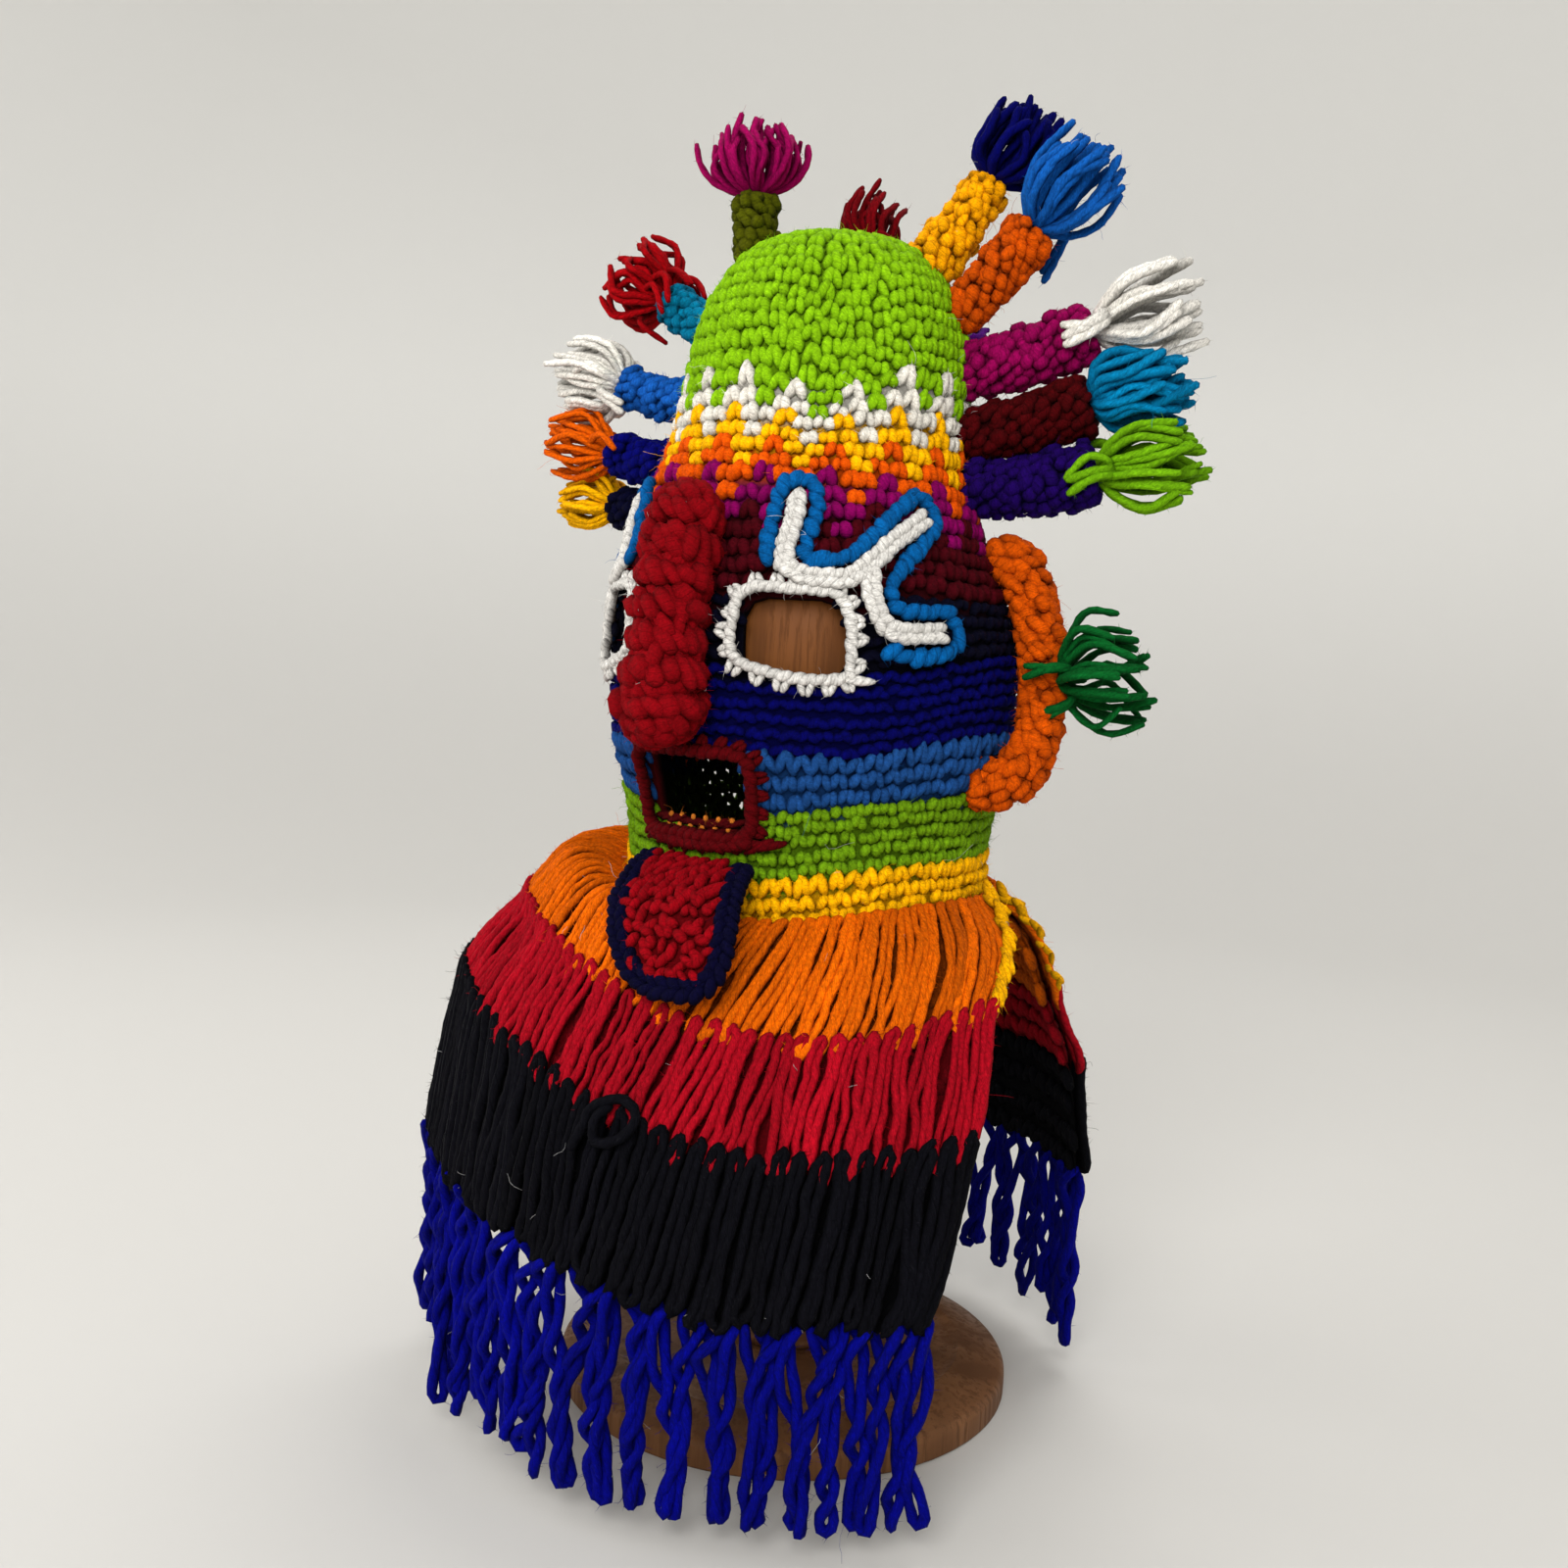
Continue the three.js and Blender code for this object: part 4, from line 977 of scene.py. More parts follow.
def lay_rope(piece, line, outward, width, link, yarn, seed, lean=14, reach=1.5, thick=1.0, rough=1.4):
    """A cord of slanting stitches along a line of points: link is how far apart they are."""
    draw = np.random.default_rng(seed)
    length = np.linalg.norm(np.diff(line, axis=0), axis=1).sum()
    count = max(2, round(length / link))
    at = (np.arange(count) + 0.5) / count * (len(line) - 1)
    tables = (line, unit(np.gradient(line, axis=0)), outward)
    middles, along, out = (rows_at(at, range(len(line)), table) for table in tables)
    along, out = unit(along), unit(out)
    tilt = np.radians(lean + draw.normal(0, 4 * rough, count))[:, None]
    direction = unit(along * np.cos(tilt) + np.cross(out, along) * np.sin(tilt))
    half = np.array([link * reach, width * 0.4, width * 0.42 * thick])
    half = half * (1 + draw.normal(0, 0.05 * rough, (count, 3)))
    middles = middles + out * draw.normal(0, 0.15 * rough, (count, 1))
    lay_legs(piece, middles, direction, out, half, yarn, seed, **FINE)


rim_wool = wool("white_rim_wool", twist=0.9, ply=0.6, fibre=0.1)
for side, name in ((1, "left"), (-1, "right")):
    rim_piece = WoolPiece()
    closed = [*EYE_RIM, EYE_RIM[0]]
    line, outward = face_line(EYE, side, closed, RIM["out"], 160)
    lay_rope(rim_piece, line, outward, RIM["width"], RIM["link"], dyed(*WHITE), 31, RIM["lean"] * side,
             reach=1.0)
    line, outward = face_line(EYE, side, EYE_TAIL, RIM["out"] + 0.6, 12)
    lay_rope(rim_piece, line, outward, RIM_TAIL["width"], RIM_TAIL["link"], dyed(*WHITE), 32,
             RIM_TAIL["lean"])
    tips = np.array(EYE_LOOPS)
    ring = through(closed, 200)
    nearest = np.array([ring[np.argmin(np.linalg.norm(ring - tip, axis=1))] for tip in tips])
    inner = on_face(EYE, side, nearest, RIM["out"] - 0.6)
    outer = on_face(EYE, side, tips, RIM["out"] - 0.2)
    outward = face_outward(EYE, side, (nearest + tips) / 2, 2)
    tall = np.linalg.norm(outer - inner, axis=1)
    stitch_legs(rim_piece, (inner + outer) / 2, unit(outer - inner), outward, dyed(*WHITE), 33,
                width=6.6, tall=tall, lean=15, plump=0.92)
    rim_object = rim_piece.made("eye_chain_" + name, rim_wool)
    dress(rim_object, "white_wool", "eye_rim_" + name)

# Lashes: over each eye a white braid in three prongs, of two chains side by side, with a blue cord
# crocheted round its outer side. Both lie flat on the brow and are sewn down.
LASH_PRONGS = [
    [(3.0, 56.3), (1.0, 45.3), (-2.4, 34.9), (-3.4, 26.0)],
    [(-4.1, 27.2), (4.2, 23.4), (14.5, 22.2), (23.3, 23.0), (33.2, 29.0), (46.7, 38.8), (66.0, 49.6)],
    [(34.0, 28.0), (32.2, 18.8), (33.2, 11.3), (36.0, 5.4), (43.0, 2.6), (61.0, 3.4)],
]
LASH_CORD = [
    (-11.1, 27.9), (-10.8, 34.7), (-8.9, 45.1), (-6.0, 57.6), (1.4, 62.2), (9.8, 60.0), (11.6, 51.0),
    (8.2, 40.6), (5.0, 33.4), (8.6, 30.4), (16.1, 29.6), (26.4, 33.0), (39.5, 42.5), (56.2, 54.7),
    (66.0, 58.0), (73.0, 51.5), (69.0, 43.8), (54.5, 33.4), (43.4, 23.1), (41.0, 15.3), (44.9, 11.3),
    (55.4, 11.2), (66.0, 11.6), (70.2, 4.5), (66.0, -3.0), (57.6, -5.4), (46.2, -6.4), (35.8, -3.4),
]
BRAID = {"width": 6.2, "link": 4.8, "apart": 1.7, "out": 4.8, "lean": 20}
CORD = {"width": 7.8, "link": 5.6, "out": 3.6, "lean": 26}
LASH_BLUE = (9, 88, 152)
lash_wool = wool("lash_wool", twist=0.8, ply=0.6, fibre=0.1)
cord_wool = wool("lash_cord_wool", twist=0.6, ply=0.6, fibre=0.5)
for side, name in ((1, "left"), (-1, "right")):
    braid = WoolPiece()
    for number, prong in enumerate(LASH_PRONGS):
        flat = through(prong, 60)
        across = unit(np.gradient(flat, axis=0))[:, ::-1] * (1, -1) * BRAID["apart"]
        for half, offset in enumerate((across, -across)):
            row_line = flat + offset
            line = on_face(EYE, side, row_line, BRAID["out"])
            outward = face_outward(EYE, side, row_line, BRAID["out"])
            lean = side * BRAID["lean"] * (1 if half else -1)
            seed = 40 + 4 * number + half
            lay_rope(braid, line, outward, BRAID["width"], BRAID["link"], dyed(*WHITE), seed, lean,
                     reach=0.95)
    dress(braid.made("white_braid_" + name, lash_wool), "white_wool", "lash_" + name)
    cord = WoolPiece()
    line, outward = face_line(EYE, side, LASH_CORD, CORD["out"], 240)
    lay_rope(cord, line, outward, CORD["width"], CORD["link"], dyed(*LASH_BLUE), 52, CORD["lean"] * side,
             reach=0.95, thick=0.85, rough=2.5)
    dress(cord.made("blue_cord_" + name, cord_wool), "lash_blue_wool", "lash_border_" + name)

# Mouth rim: a dark red chain worked round the open mouth, with pointed stitches that reach into the
# bands beside it and a short tail at its lower outer corner. Below it lie a second chain, and two thin
# dark rounds with ochre stitches between them.
MOUTH_EDGING = {"beyond": 2.4, "points_out": 2.4, "points": 25, "reach": 7.0, "reach_below": 8.5}
MOUTH_CHAIN = {"out": 3.6, "width": 6.8, "link": 4.8, "lean": 26}
MOUTH_LOWER_CHAIN = {"out": 4.4, "width": 6.4, "link": 4.4, "lean": -26}
MOUTH_ROUND = {"out": 0.6, "width": 3.6, "link": 4.2, "shade": 0.6}
CHINK = {"half": (1.4, 1.3, 1.0), "out": 1.2, "above": 2.2, "apart": 6.5}
MOUTH_LOWER = [(-24, -19.6), (-10, -21.6), (6, -22), (20, -21), (27, -18.5)]
MOUTH_TAIL = [(24, -20), (31, -20.5), (38, -19.5)]
CHINK_OCHRE = (196, 112, 40)
mouth_piece = WoolPiece()
half_wide, half_tall, corner = MOUTH["wide"] / 2, MOUTH["tall"] / 2, MOUTH["corner"]
quarter = np.array([(half_wide - corner, half_tall), (half_wide - 0.3 * corner, half_tall - 0.3 * corner),
                    (half_wide, half_tall - corner)])
ring = np.vstack([quarter, quarter[::-1] * (1, -1), quarter * (-1, -1), quarter[::-1] * (-1, 1)])
ring = ring + np.sign(ring) * MOUTH_EDGING["beyond"]
around = np.vstack([ring, ring[:1]])
for points, steps, chain, seed in ((around, 160, MOUTH_CHAIN, 61), (MOUTH_LOWER, 60, MOUTH_LOWER_CHAIN, 64)):
    line, outward = face_line(MOUTH, 1, points, chain["out"], steps)
    lay_rope(mouth_piece, line, outward, chain["width"], chain["link"], dyed(*BURGUNDY), seed, chain["lean"],
             reach=0.95)
for height, seed in ((-13.2, 65), (-17.4, 66)):
    bow = [(-22, height + 1), (0, height), (22, height + 1)]
    line, outward = face_line(MOUTH, 1, bow, MOUTH_ROUND["out"], 40)
    # Painted shade: the two thin rounds are the burgundy yarn darkened.
    tone = dyed(*BURGUNDY) * MOUTH_ROUND["shade"]
    lay_rope(mouth_piece, line, outward, MOUTH_ROUND["width"], MOUTH_ROUND["link"], tone, seed)
    across = np.arange(-16, 22, CHINK["apart"]) + (seed % 2) * 2
    spots = np.stack([across, np.full(len(across), height + CHINK["above"])], 1)
    upright = np.broadcast_to((0.0, 0.0, 1.0), (len(spots), 3))
    places, outward = on_face(MOUTH, 1, spots, CHINK["out"]), face_outward(MOUTH, 1, spots, CHINK["out"])
    lay_legs(mouth_piece, places, upright, outward, CHINK["half"], dyed(*CHINK_OCHRE), seed + 10)
flat = evenly(through(around, 160), MOUTH_EDGING["points"])[:-1]
reach = np.where(flat[:, 1] < -half_tall, MOUTH_EDGING["reach_below"], MOUTH_EDGING["reach"])
tips = flat + unit(flat) * reach[:, None]
inner, outer = (on_face(MOUTH, 1, places, MOUTH_EDGING["points_out"]) for places in (flat, tips))
outward = face_outward(MOUTH, 1, (flat + tips) / 2, 2)
tall = np.linalg.norm(outer - inner, axis=1)
stitch_legs(mouth_piece, (inner + outer) / 2, unit(outer - inner), outward, dyed(*BURGUNDY), 62,
            width=5.6, tall=tall, lean=12)
line, outward = face_line(MOUTH, 1, MOUTH_TAIL, 3.4, 12)
lay_rope(mouth_piece, line, outward, 4.6, 4.6, dyed(*BURGUNDY), 63)
rim_dark = wool("mouth_wool", twist=0.8, ply=0.5, fibre=0.4)
dress(mouth_piece.made("mouth_chain", rim_dark), "burgundy_wool", "mouth_rim")

# Tongue: a thick crimson flap crocheted to the mouth's lower rim, which hangs out over the collar. Its
# edge is a dark blue cord.
TONGUE_PATH = [(88, 251), (103, 245), (121, 232), (134, 208)]
TONGUE = {"wide": 58, "azimuths": (6, 17), "steps": 80, "faces": {"front": 0.4, "back": -2.8}}
TONGUE_CORD = {"width": 6.6, "link": 5.2, "apart": 2.2, "lean": 30}
TONGUE_STITCH = {"rows": 12, "apart": 5.0, "out": 1.8, "upper_part": 0.45}
CRIMSON = (136, 6, 21)
TONGUE_NAVY = (12, 10, 40)
tongue_line = through(TONGUE_PATH, TONGUE["steps"], doubled=True)
tongue_slope = unit(np.gradient(tongue_line, axis=0))


def on_tongue(down, across, depth):
    """A point of the tongue: its share down, its place across and its distance outside the middle."""
    down, across, depth = np.broadcast_arrays(np.asarray(down, float), across, depth)
    at = down * TONGUE["steps"]
    r, z, dr, dz = (
        np.interp(at, range(TONGUE["steps"] + 1), column) for column in (*tongue_line.T, *tongue_slope.T)
    )
    start, end = TONGUE["azimuths"]
    a = np.radians(start + (end - start) * down) + across / r
    radius = r - dz * depth
    return np.stack([radius * np.sin(a), -radius * np.cos(a), z + dr * depth], -1)


def grid_faces(rows, columns):
    """The four-sided faces of a flat grid of points, by the points' numbers."""
    index = np.arange(rows * columns).reshape(rows, columns)
    return np.stack([index[:-1, :-1], index[:-1, 1:], index[1:, 1:], index[1:, :-1]], 2).reshape(-1, 4)


def tongue_half(down):
    """Half the tongue's width, at a share of the way down."""
    return TONGUE["wide"] / 2 * np.maximum(1 - down**3, 0) ** (1 / 3) * (0.84 + 0.16 * down)


turn_round = np.linspace(0, np.pi, 90)
edge_down = np.abs(np.sin(turn_round)) ** (2 / 3)
edge_across = -np.sign(np.cos(turn_round)) * tongue_half(edge_down)
edge = evenly(on_tongue(edge_down, edge_across, 0.6), 100)
edge_out = unit(evenly(on_tongue(edge_down, edge_across, 1.6), 100) - edge)
tongue_border = WoolPiece()
edge_side = np.cross(unit(np.gradient(edge, axis=0)), edge_out)
for half in (1, -1):
    line = edge + edge_side * TONGUE_CORD["apart"] * half
    lay_rope(tongue_border, line, edge_out, TONGUE_CORD["width"], TONGUE_CORD["link"], dyed(*TONGUE_NAVY),
             71 + half, TONGUE_CORD["lean"] * half, reach=0.9, thick=1.25)
navy_cord = wool("tongue_cord_wool", twist=0.7, ply=0.5, fibre=0.7)
dress(tongue_border.made("tongue_cord", navy_cord), "dark_navy_wool", "tongue_border")

tongue = WoolPiece()
u, v = np.meshgrid(np.linspace(-1, 1, 21), np.sin(np.linspace(0, np.pi / 2, 25)) * 0.97)
half = np.maximum(tongue_half(v) - 2.4, 0.4)
quads = grid_faces(*u.shape)
# Painted shade: the sheet under the stitches and the one on the back are the crimson yarn darkened.
for depth, flip, shade in ((TONGUE["faces"]["front"], -1, 0.4), (TONGUE["faces"]["back"], 1, 0.75)):
    sheet_points = on_tongue(v, u * half, depth)
    tones = np.full((u.size, 3), shade) * dyed(*CRIMSON)
    tongue.add(sheet_points, quads[:, ::flip], NO_TRIANGLES, tones, sheet_points)
draw = np.random.default_rng(73)
rows = []
for number, down in enumerate(np.linspace(0.04, 0.92, TONGUE_STITCH["rows"])):
    wide = tongue_half(np.array(down)) - 4.2
    count = max(3, round(2 * wide / TONGUE_STITCH["apart"]))
    across = (np.arange(count) + 0.5 + 0.5 * (number % 2) - 0.25) / count * 2 * wide - wide
    rows.append(np.stack([np.full(count, down), across + draw.normal(0, 0.7, count)], 1))
down, across = np.vstack(rows).T
down = np.clip(down + draw.normal(0, 0.02, len(down)), 0.02, 0.94)
middles = on_tongue(down, across, TONGUE_STITCH["out"])
along = unit(on_tongue(down + 0.02, across, TONGUE_STITCH["out"]) - middles)
outward = unit(on_tongue(down, across, TONGUE_STITCH["out"] + 1) - middles)
upper = down < TONGUE_STITCH["upper_part"]
leans = np.where(upper, -30, draw.choice([-42, 34], len(down))) + draw.normal(0, 17, len(down))
tilt = np.radians(leans)[:, None]
direction = unit(along * np.cos(tilt) + np.cross(outward, along) * np.sin(tilt))
half = np.stack([np.where(upper, 5.4, 3.7), np.full(len(down), 2.2), np.full(len(down), 2.3)], 1)
half = half * (1 + draw.normal(0, 0.14, half.shape))
lay_legs(tongue, middles, direction, outward, half, dyed(*CRIMSON), 74, **FINE)
tongue_wool = wool("tongue_wool", twist=0.8, ply=0.5, fibre=0.5)
dress(tongue.made("tongue_flap", tongue_wool), "crimson_wool", "tongue")

# Horns: twelve stuffed tubes crocheted in a spiral, each of one bright yarn, sewn on in a crest from ear
# to ear over the crown. Their ends are closed flat, and a tuft of thick yarn is tied on each.
HORN_SUNK = -4
HORN_STEPS = 40
# go is how far a horn reaches out and up, and brush is its tuft's length and spread
HORNS = [
    {"azimuth": 113, "height": 415, "go": (56, 8), "radii": (12, 15), "brush": (40, 19)},
    {"azimuth": 113, "height": 438, "go": (55, 15), "radii": (11, 14.6), "brush": (38, 15)},
    {"azimuth": 113, "height": 466, "go": (54, 18), "radii": (12.4, 14), "brush": (41, 19)},
    {"azimuth": 110, "height": 489, "go": (32, 38), "radii": (10.5, 12.4), "brush": (38, 19)},
    {"azimuth": 118, "height": 514, "go": (26, 37), "radii": (13, 9.4), "brush": (33, 16)},
    {"azimuth": 176, "turn": 20, "height": 494, "go": (52, 6), "radii": (12, 10.5), "brush": (38, 18)},
    {"azimuth": -155, "height": 503, "go": (8, 30), "radii": (11, 10), "brush": (28, 15)},
    {"azimuth": -90, "height": 505, "go": (2, 47), "radii": (10.6, 11.2), "brush": (31, 20)},
    {"azimuth": -86, "height": 484, "go": (39, 23), "radii": (9.8, 10.4), "brush": (27, 19)},
    {"azimuth": -82, "height": 455, "go": (52, 10), "radii": (11.2, 10.8), "brush": (37, 19)},
    {"azimuth": -82, "height": 426, "go": (50, 6), "radii": (11.2, 11), "brush": (37, 17)},
    {"azimuth": -87, "height": 403, "go": (47, 5), "radii": (10.4, 10.8), "brush": (29, 16)},
]
HORN_YARNS = [
    ((32, 3, 84), "purple_wool"), ((70, 5, 12), "maroon_wool"), ((138, 7, 78), "magenta_wool"),
    ((196, 76, 3), "orange_wool"), ((250, 166, 3), "yellow_wool"), ((150, 168, 10), "lime_wool"),
    ((34, 112, 24), "leaf_green_wool"), ((76, 80, 8), "olive_wool"), ((4, 118, 156), "turquoise_wool"),
    ((26, 88, 176), "mid_blue_wool"), ((6, 10, 100), "navy_wool"), ((9, 10, 38), "dark_navy_wool"),
]
horn_wool = wool("horn_wool", twist=0.8, ply=0.5, fibre=0.5)
horn_ends = []
for number, (horn, (yarn, slot)) in enumerate(zip(HORNS, HORN_YARNS), 1):
    way = along_hood(horn["height"])
    foot = hood_surface(horn["azimuth"], way, HORN_SUNK)
    away = math.radians(horn["azimuth"] + horn.get("turn", 0))
    reach, rise = horn["go"]
    tip = hood_surface(horn["azimuth"], way, 0) + (math.sin(away) * reach, -math.cos(away) * reach, rise)
    line = through([foot, (foot + tip) / 2 - (0, 0, 2), tip], HORN_STEPS)
    radii = np.linspace(*horn["radii"], HORN_STEPS + 1)
    made = WoolPiece()
    crochet_tube(made, line, radii, dyed(*yarn), 200 + number, shoulders=(0, 5.5), rough=1.6, plump=1.08)
    name = f"crocheted_horn_{number:02}"
    piece = dress(made.made(name, horn_wool), slot, f"horn_{number:02}")
    horn_ends.append((tip, unit(line[-1] - line[-2]), horn["brush"]))

# Tufts: a bunch of thick two-ply yarn ends on every horn. They spread from one knot and bend forwards,
# each its own way, and a few hang back over the horn.
# In a tuft's shape, back counts the ends that hang back, swell says how soon it opens, and bunch how many
# ends lie together
TUFT_SHAPE = ("ends", "wide", "back", "thick", "swell", "bunch")
TUFTS = [
    ((106, 162, 20), "grass_green_wool", (36, 1.1, 4, 2.2, 0.5, 3)),
    ((4, 116, 164), "turquoise_wool", (35, 1.1, 0, 2.21, 0.72, 1)),
    ((230, 226, 218), "white_wool", (36, 1.1, 6, 2.4, 0.42, 3)),
    ((22, 86, 168), "mid_blue_wool", (39, 1.05, 2, 2.2, 0.55, 3)),
    ((4, 8, 82), "navy_wool", (35, 1.05, 0, 2.13, 0.72, 1)),
    ((78, 8, 116), "purple_wool", (26, 0.65, 0, 1.97, 0.5, 1)),
    ((104, 8, 18), "dark_red_wool", (35, 1.1, 1, 1.8, 0.55, 2)),
    ((146, 10, 80), "magenta_wool", (59, 1.15, 0, 1.72, 0.62, 1)),
    ((150, 8, 18), "crimson_wool", (59, 1.3, 9, 1.89, 0.55, 2)),
    ((230, 226, 218), "white_wool", (40, 1.1, 3, 1.97, 0.75, 2)),
    ((220, 90, 5), "orange_wool", (39, 1.05, 2, 1.64, 0.5, 2)),
    ((240, 172, 5), "yellow_wool", (36, 1.0, 1, 1.72, 0.55, 2)),
]
GOLDEN_ANGLE = 2.39996
KNOT = 3.0
YARN_END = {"bend": 4.2, "droop": 4.5, "points": 15}


def tuft_of_yarn(foot, axis, brush, yarn, shape, seed):
    """Yarn ends that start at a knot, swell out from it, and spread along an axis in small bunches."""
    draw = np.random.default_rng(seed)
    made = WoolPiece()
    length, spread = brush
    shape = dict(zip(TUFT_SHAPE, shape))
    count, bunch = shape["ends"], shape["bunch"]
    first = unit(np.cross(axis, (0.2, 0.9, 0.4)))
    second = np.cross(axis, first)
    paths = []
    bends = draw.normal(0, YARN_END["bend"], count)
    for number in range(count):
        share = math.sqrt(min(1, (number - number % bunch + bunch / 2) / count))
        angle = number // bunch * GOLDEN_ANGLE + draw.normal(0, 0.2)
        radial = first * math.cos(angle) + second * math.sin(angle)
        sideways = np.cross(axis, radial)
        far = length * (1.02 - 0.22 * share**2 + draw.normal(0, 0.09))
        open_to = spread * shape["wide"] * share * draw.uniform(0.85, 1.08)
        droop = np.array([0, 0, -1.0]) * draw.uniform(0, YARN_END["droop"])
        bend_side = sideways * (bends[number // bunch] + draw.normal(0, 1.2))
        if number >= count - shape["back"]:
            line = [
                foot + radial * KNOT * 0.5,
                foot + radial * (KNOT + 8) + axis * 5,
                foot + radial * (KNOT + 13) - axis * 3 + bend_side,
                foot + radial * (KNOT + 12) - axis * 13 + droop,
            ]
        else:
            end_open = open_to * draw.uniform(0.72, 1.12)
            line = [
                foot - axis * 2 + radial * KNOT * share * 0.8,
                foot + axis * far * 0.14 + radial * (KNOT * share + open_to * shape["swell"]),
                foot + axis * far * 0.5 + radial * open_to * 1.05 - bend_side * 0.4,
                foot + axis * far + radial * end_open + bend_side + droop,
            ]
        paths.append(through(line, YARN_END["points"]))
    paths = np.array(paths)
    outward = unit(paths - (foot + axis * length * 0.36))
    radii = shape["thick"] * (1 + draw.normal(0, 0.08, (count, 1)))
    lay_strands(made, paths, radii, dyed(*yarn), seed, outward=outward, lobes=0.22, twist=0.42, dark=0.36)
    return made


tuft_wool = wool("tuft_wool", twist=0.42, ply=0.35, fibre=0.5)
for number, ((tip, axis, brush), (yarn, slot, shape)) in enumerate(zip(horn_ends, TUFTS), 1):
    made = tuft_of_yarn(tip + axis * 1.5, axis, brush, yarn, shape, 300 + number)
    dress(made.made(f"yarn_tuft_{number:02}", tuft_wool), slot, f"tuft_{number:02}")

# Ears: an orange tube bent into a hoop on each side, sewn to the hood at its two ends, with a dark green
# tuft knotted round its outermost part.
EAR_PATH = [
    (112, 79, 391), (110, 94, 377), (107, 103, 352), (104, 108, 328), (100, 107, 304), (96, 98, 288),
    (92, 83, 289),
]
EAR_RADIUS = 10.5
EAR_STEPS = 60
EAR_ORANGE = (204, 80, 3)
EAR_TUFT = {"azimuth": 101, "rise": 0.15, "place": 0.47, "brush": (34, 21)}
EAR_TUFT_GREEN = (14, 88, 38)
EAR_TUFT_SHAPE = (34, 1.4, 6, 1.9, 0.55, 2)
for side, name in ((1, "left"), (-1, "right")):
    points = [
        (side * r * math.sin(math.radians(a)), -r * math.cos(math.radians(a)), z) for a, r, z in EAR_PATH
    ]
    line = through(points, EAR_STEPS)
    made = WoolPiece()
    crochet_tube(made, line, np.full(len(line), EAR_RADIUS), dyed(*EAR_ORANGE), 401 + side, lump=(6.8, 6.4),
                 shoulders=(7, 8), plump=1.15, rough=1.9)
    ear = dress(made.made("crocheted_ear_" + name, horn_wool), "orange_wool", "ear_" + name)
    a = math.radians(side * EAR_TUFT["azimuth"])
    axis = unit(np.array([math.sin(a), -math.cos(a), EAR_TUFT["rise"]]))
    curve = smooth_line(points, False)
    foot = curve[round(EAR_TUFT["place"] * (len(curve) - 1))] + axis * EAR_RADIUS * 0.9
    made = tuft_of_yarn(foot, axis, EAR_TUFT["brush"], EAR_TUFT_GREEN, EAR_TUFT_SHAPE, 410 + side)
    dress(made.made("yarn_tuft_ear_" + name, tuft_wool), "dark_green_wool", "ear_tuft_" + name)

# Collar: a front and a back flap sewn to the hood's lower edge. Each is a net with three bands of long
# wool loops that hang over one another: orange, then red, then black, each ending in a row of stitches.
# The outlines are (radius, height) points from the neck to the lower edge, at its two sides and behind.
COLLAR_RIGHT = [(85, 239), (106, 245), (127, 221), (152, 188), (164, 122)]
COLLAR_LEFT = [(85, 236), (107, 214), (125, 184), (148, 145), (163, 91)]
COLLAR_BACK = [(85, 236), (103, 216), (115, 186), (130, 148), (138, 98)]
COLLAR_RISE = [(0, 0), (0.5, 0), (1, 0), (0.85, 0), (0.5, 0)]
SHOULDER = {"high": 13, "from": 37, "over": 38}
COLLAR_TURN = (-45, 37)
NECK_DROP = {"deep": 9, "from": 15, "to": 85, "fades": (1, 0.35, 0, 0, 0)}
COLLAR_BANDS = [
    {"name": "orange", "yarn": (208, 92, 4), "from": 0.0, "to": 0.49, "loops": (50, 28), "radius": 2.0},
    {"name": "red", "yarn": (150, 14, 30), "from": 0.455, "to": 0.745, "loops": (47, 26), "radius": 2.1},
    {"name": "black", "yarn": (14, 14, 19), "from": 0.715, "to": 1.0, "loops": (43, 23), "radius": 2.3},
]
LOOP_LEAN = {"places": (-1, -0.2, 0.3, 0.7, 1), "leans": (0.03, 0.0, 0.03, -0.07, -0.02)}
# A loop's strands lie apart by a share of its room, and some loops open in an eye near their end. It
# lifts off the net where it starts, over the band above, and hangs a little out at its end.
LOOP = {"points": 24, "apart": 0.86, "eyes": 0.3, "eye_at": 0.9, "off": 1.4, "hangs_out": 3.0}
LOOP_LIFT = {"over_a_band": 5.0, "at_the_neck": 0.8, "fades": 7}
NET = {"columns": 73, "rows": 41, "out": -1.4, "shade": 0.3, "pattern": (165, 160)}
NET_STITCH = {"size": 10.5, "out": -2.6, "shade": 0.8}
BAND_CHANGES = [0.5, 0.75]
# One black loop has worked loose and lies in a curl over the red band, as (across, down, depth) points
LOOSE_LOOP = [
    (0.09, 0.815, 4), (0.118, 0.775, 7), (0.137, 0.73, 9), (0.2, 0.696, 10.5), (0.238, 0.715, 10.5),
    (0.22, 0.757, 9.5), (0.165, 0.782, 8.5), (0.15, 0.75, 9.5), (0.172, 0.715, 8.5),
]
YELLOW_EDGE = {"yarn": (240, 170, 5), "across": 0.978, "out": 5.4, "width": 4.8, "link": 4.6, "lean": 24}
samples = np.arange((len(COLLAR_BACK) - 1) * CURVE_STEPS + 1) / CURVE_STEPS
right_curve, left_curve, back_curve, rise_curve = (
    smooth_line(points) for points in (COLLAR_RIGHT, COLLAR_LEFT, COLLAR_BACK, COLLAR_RISE)
)


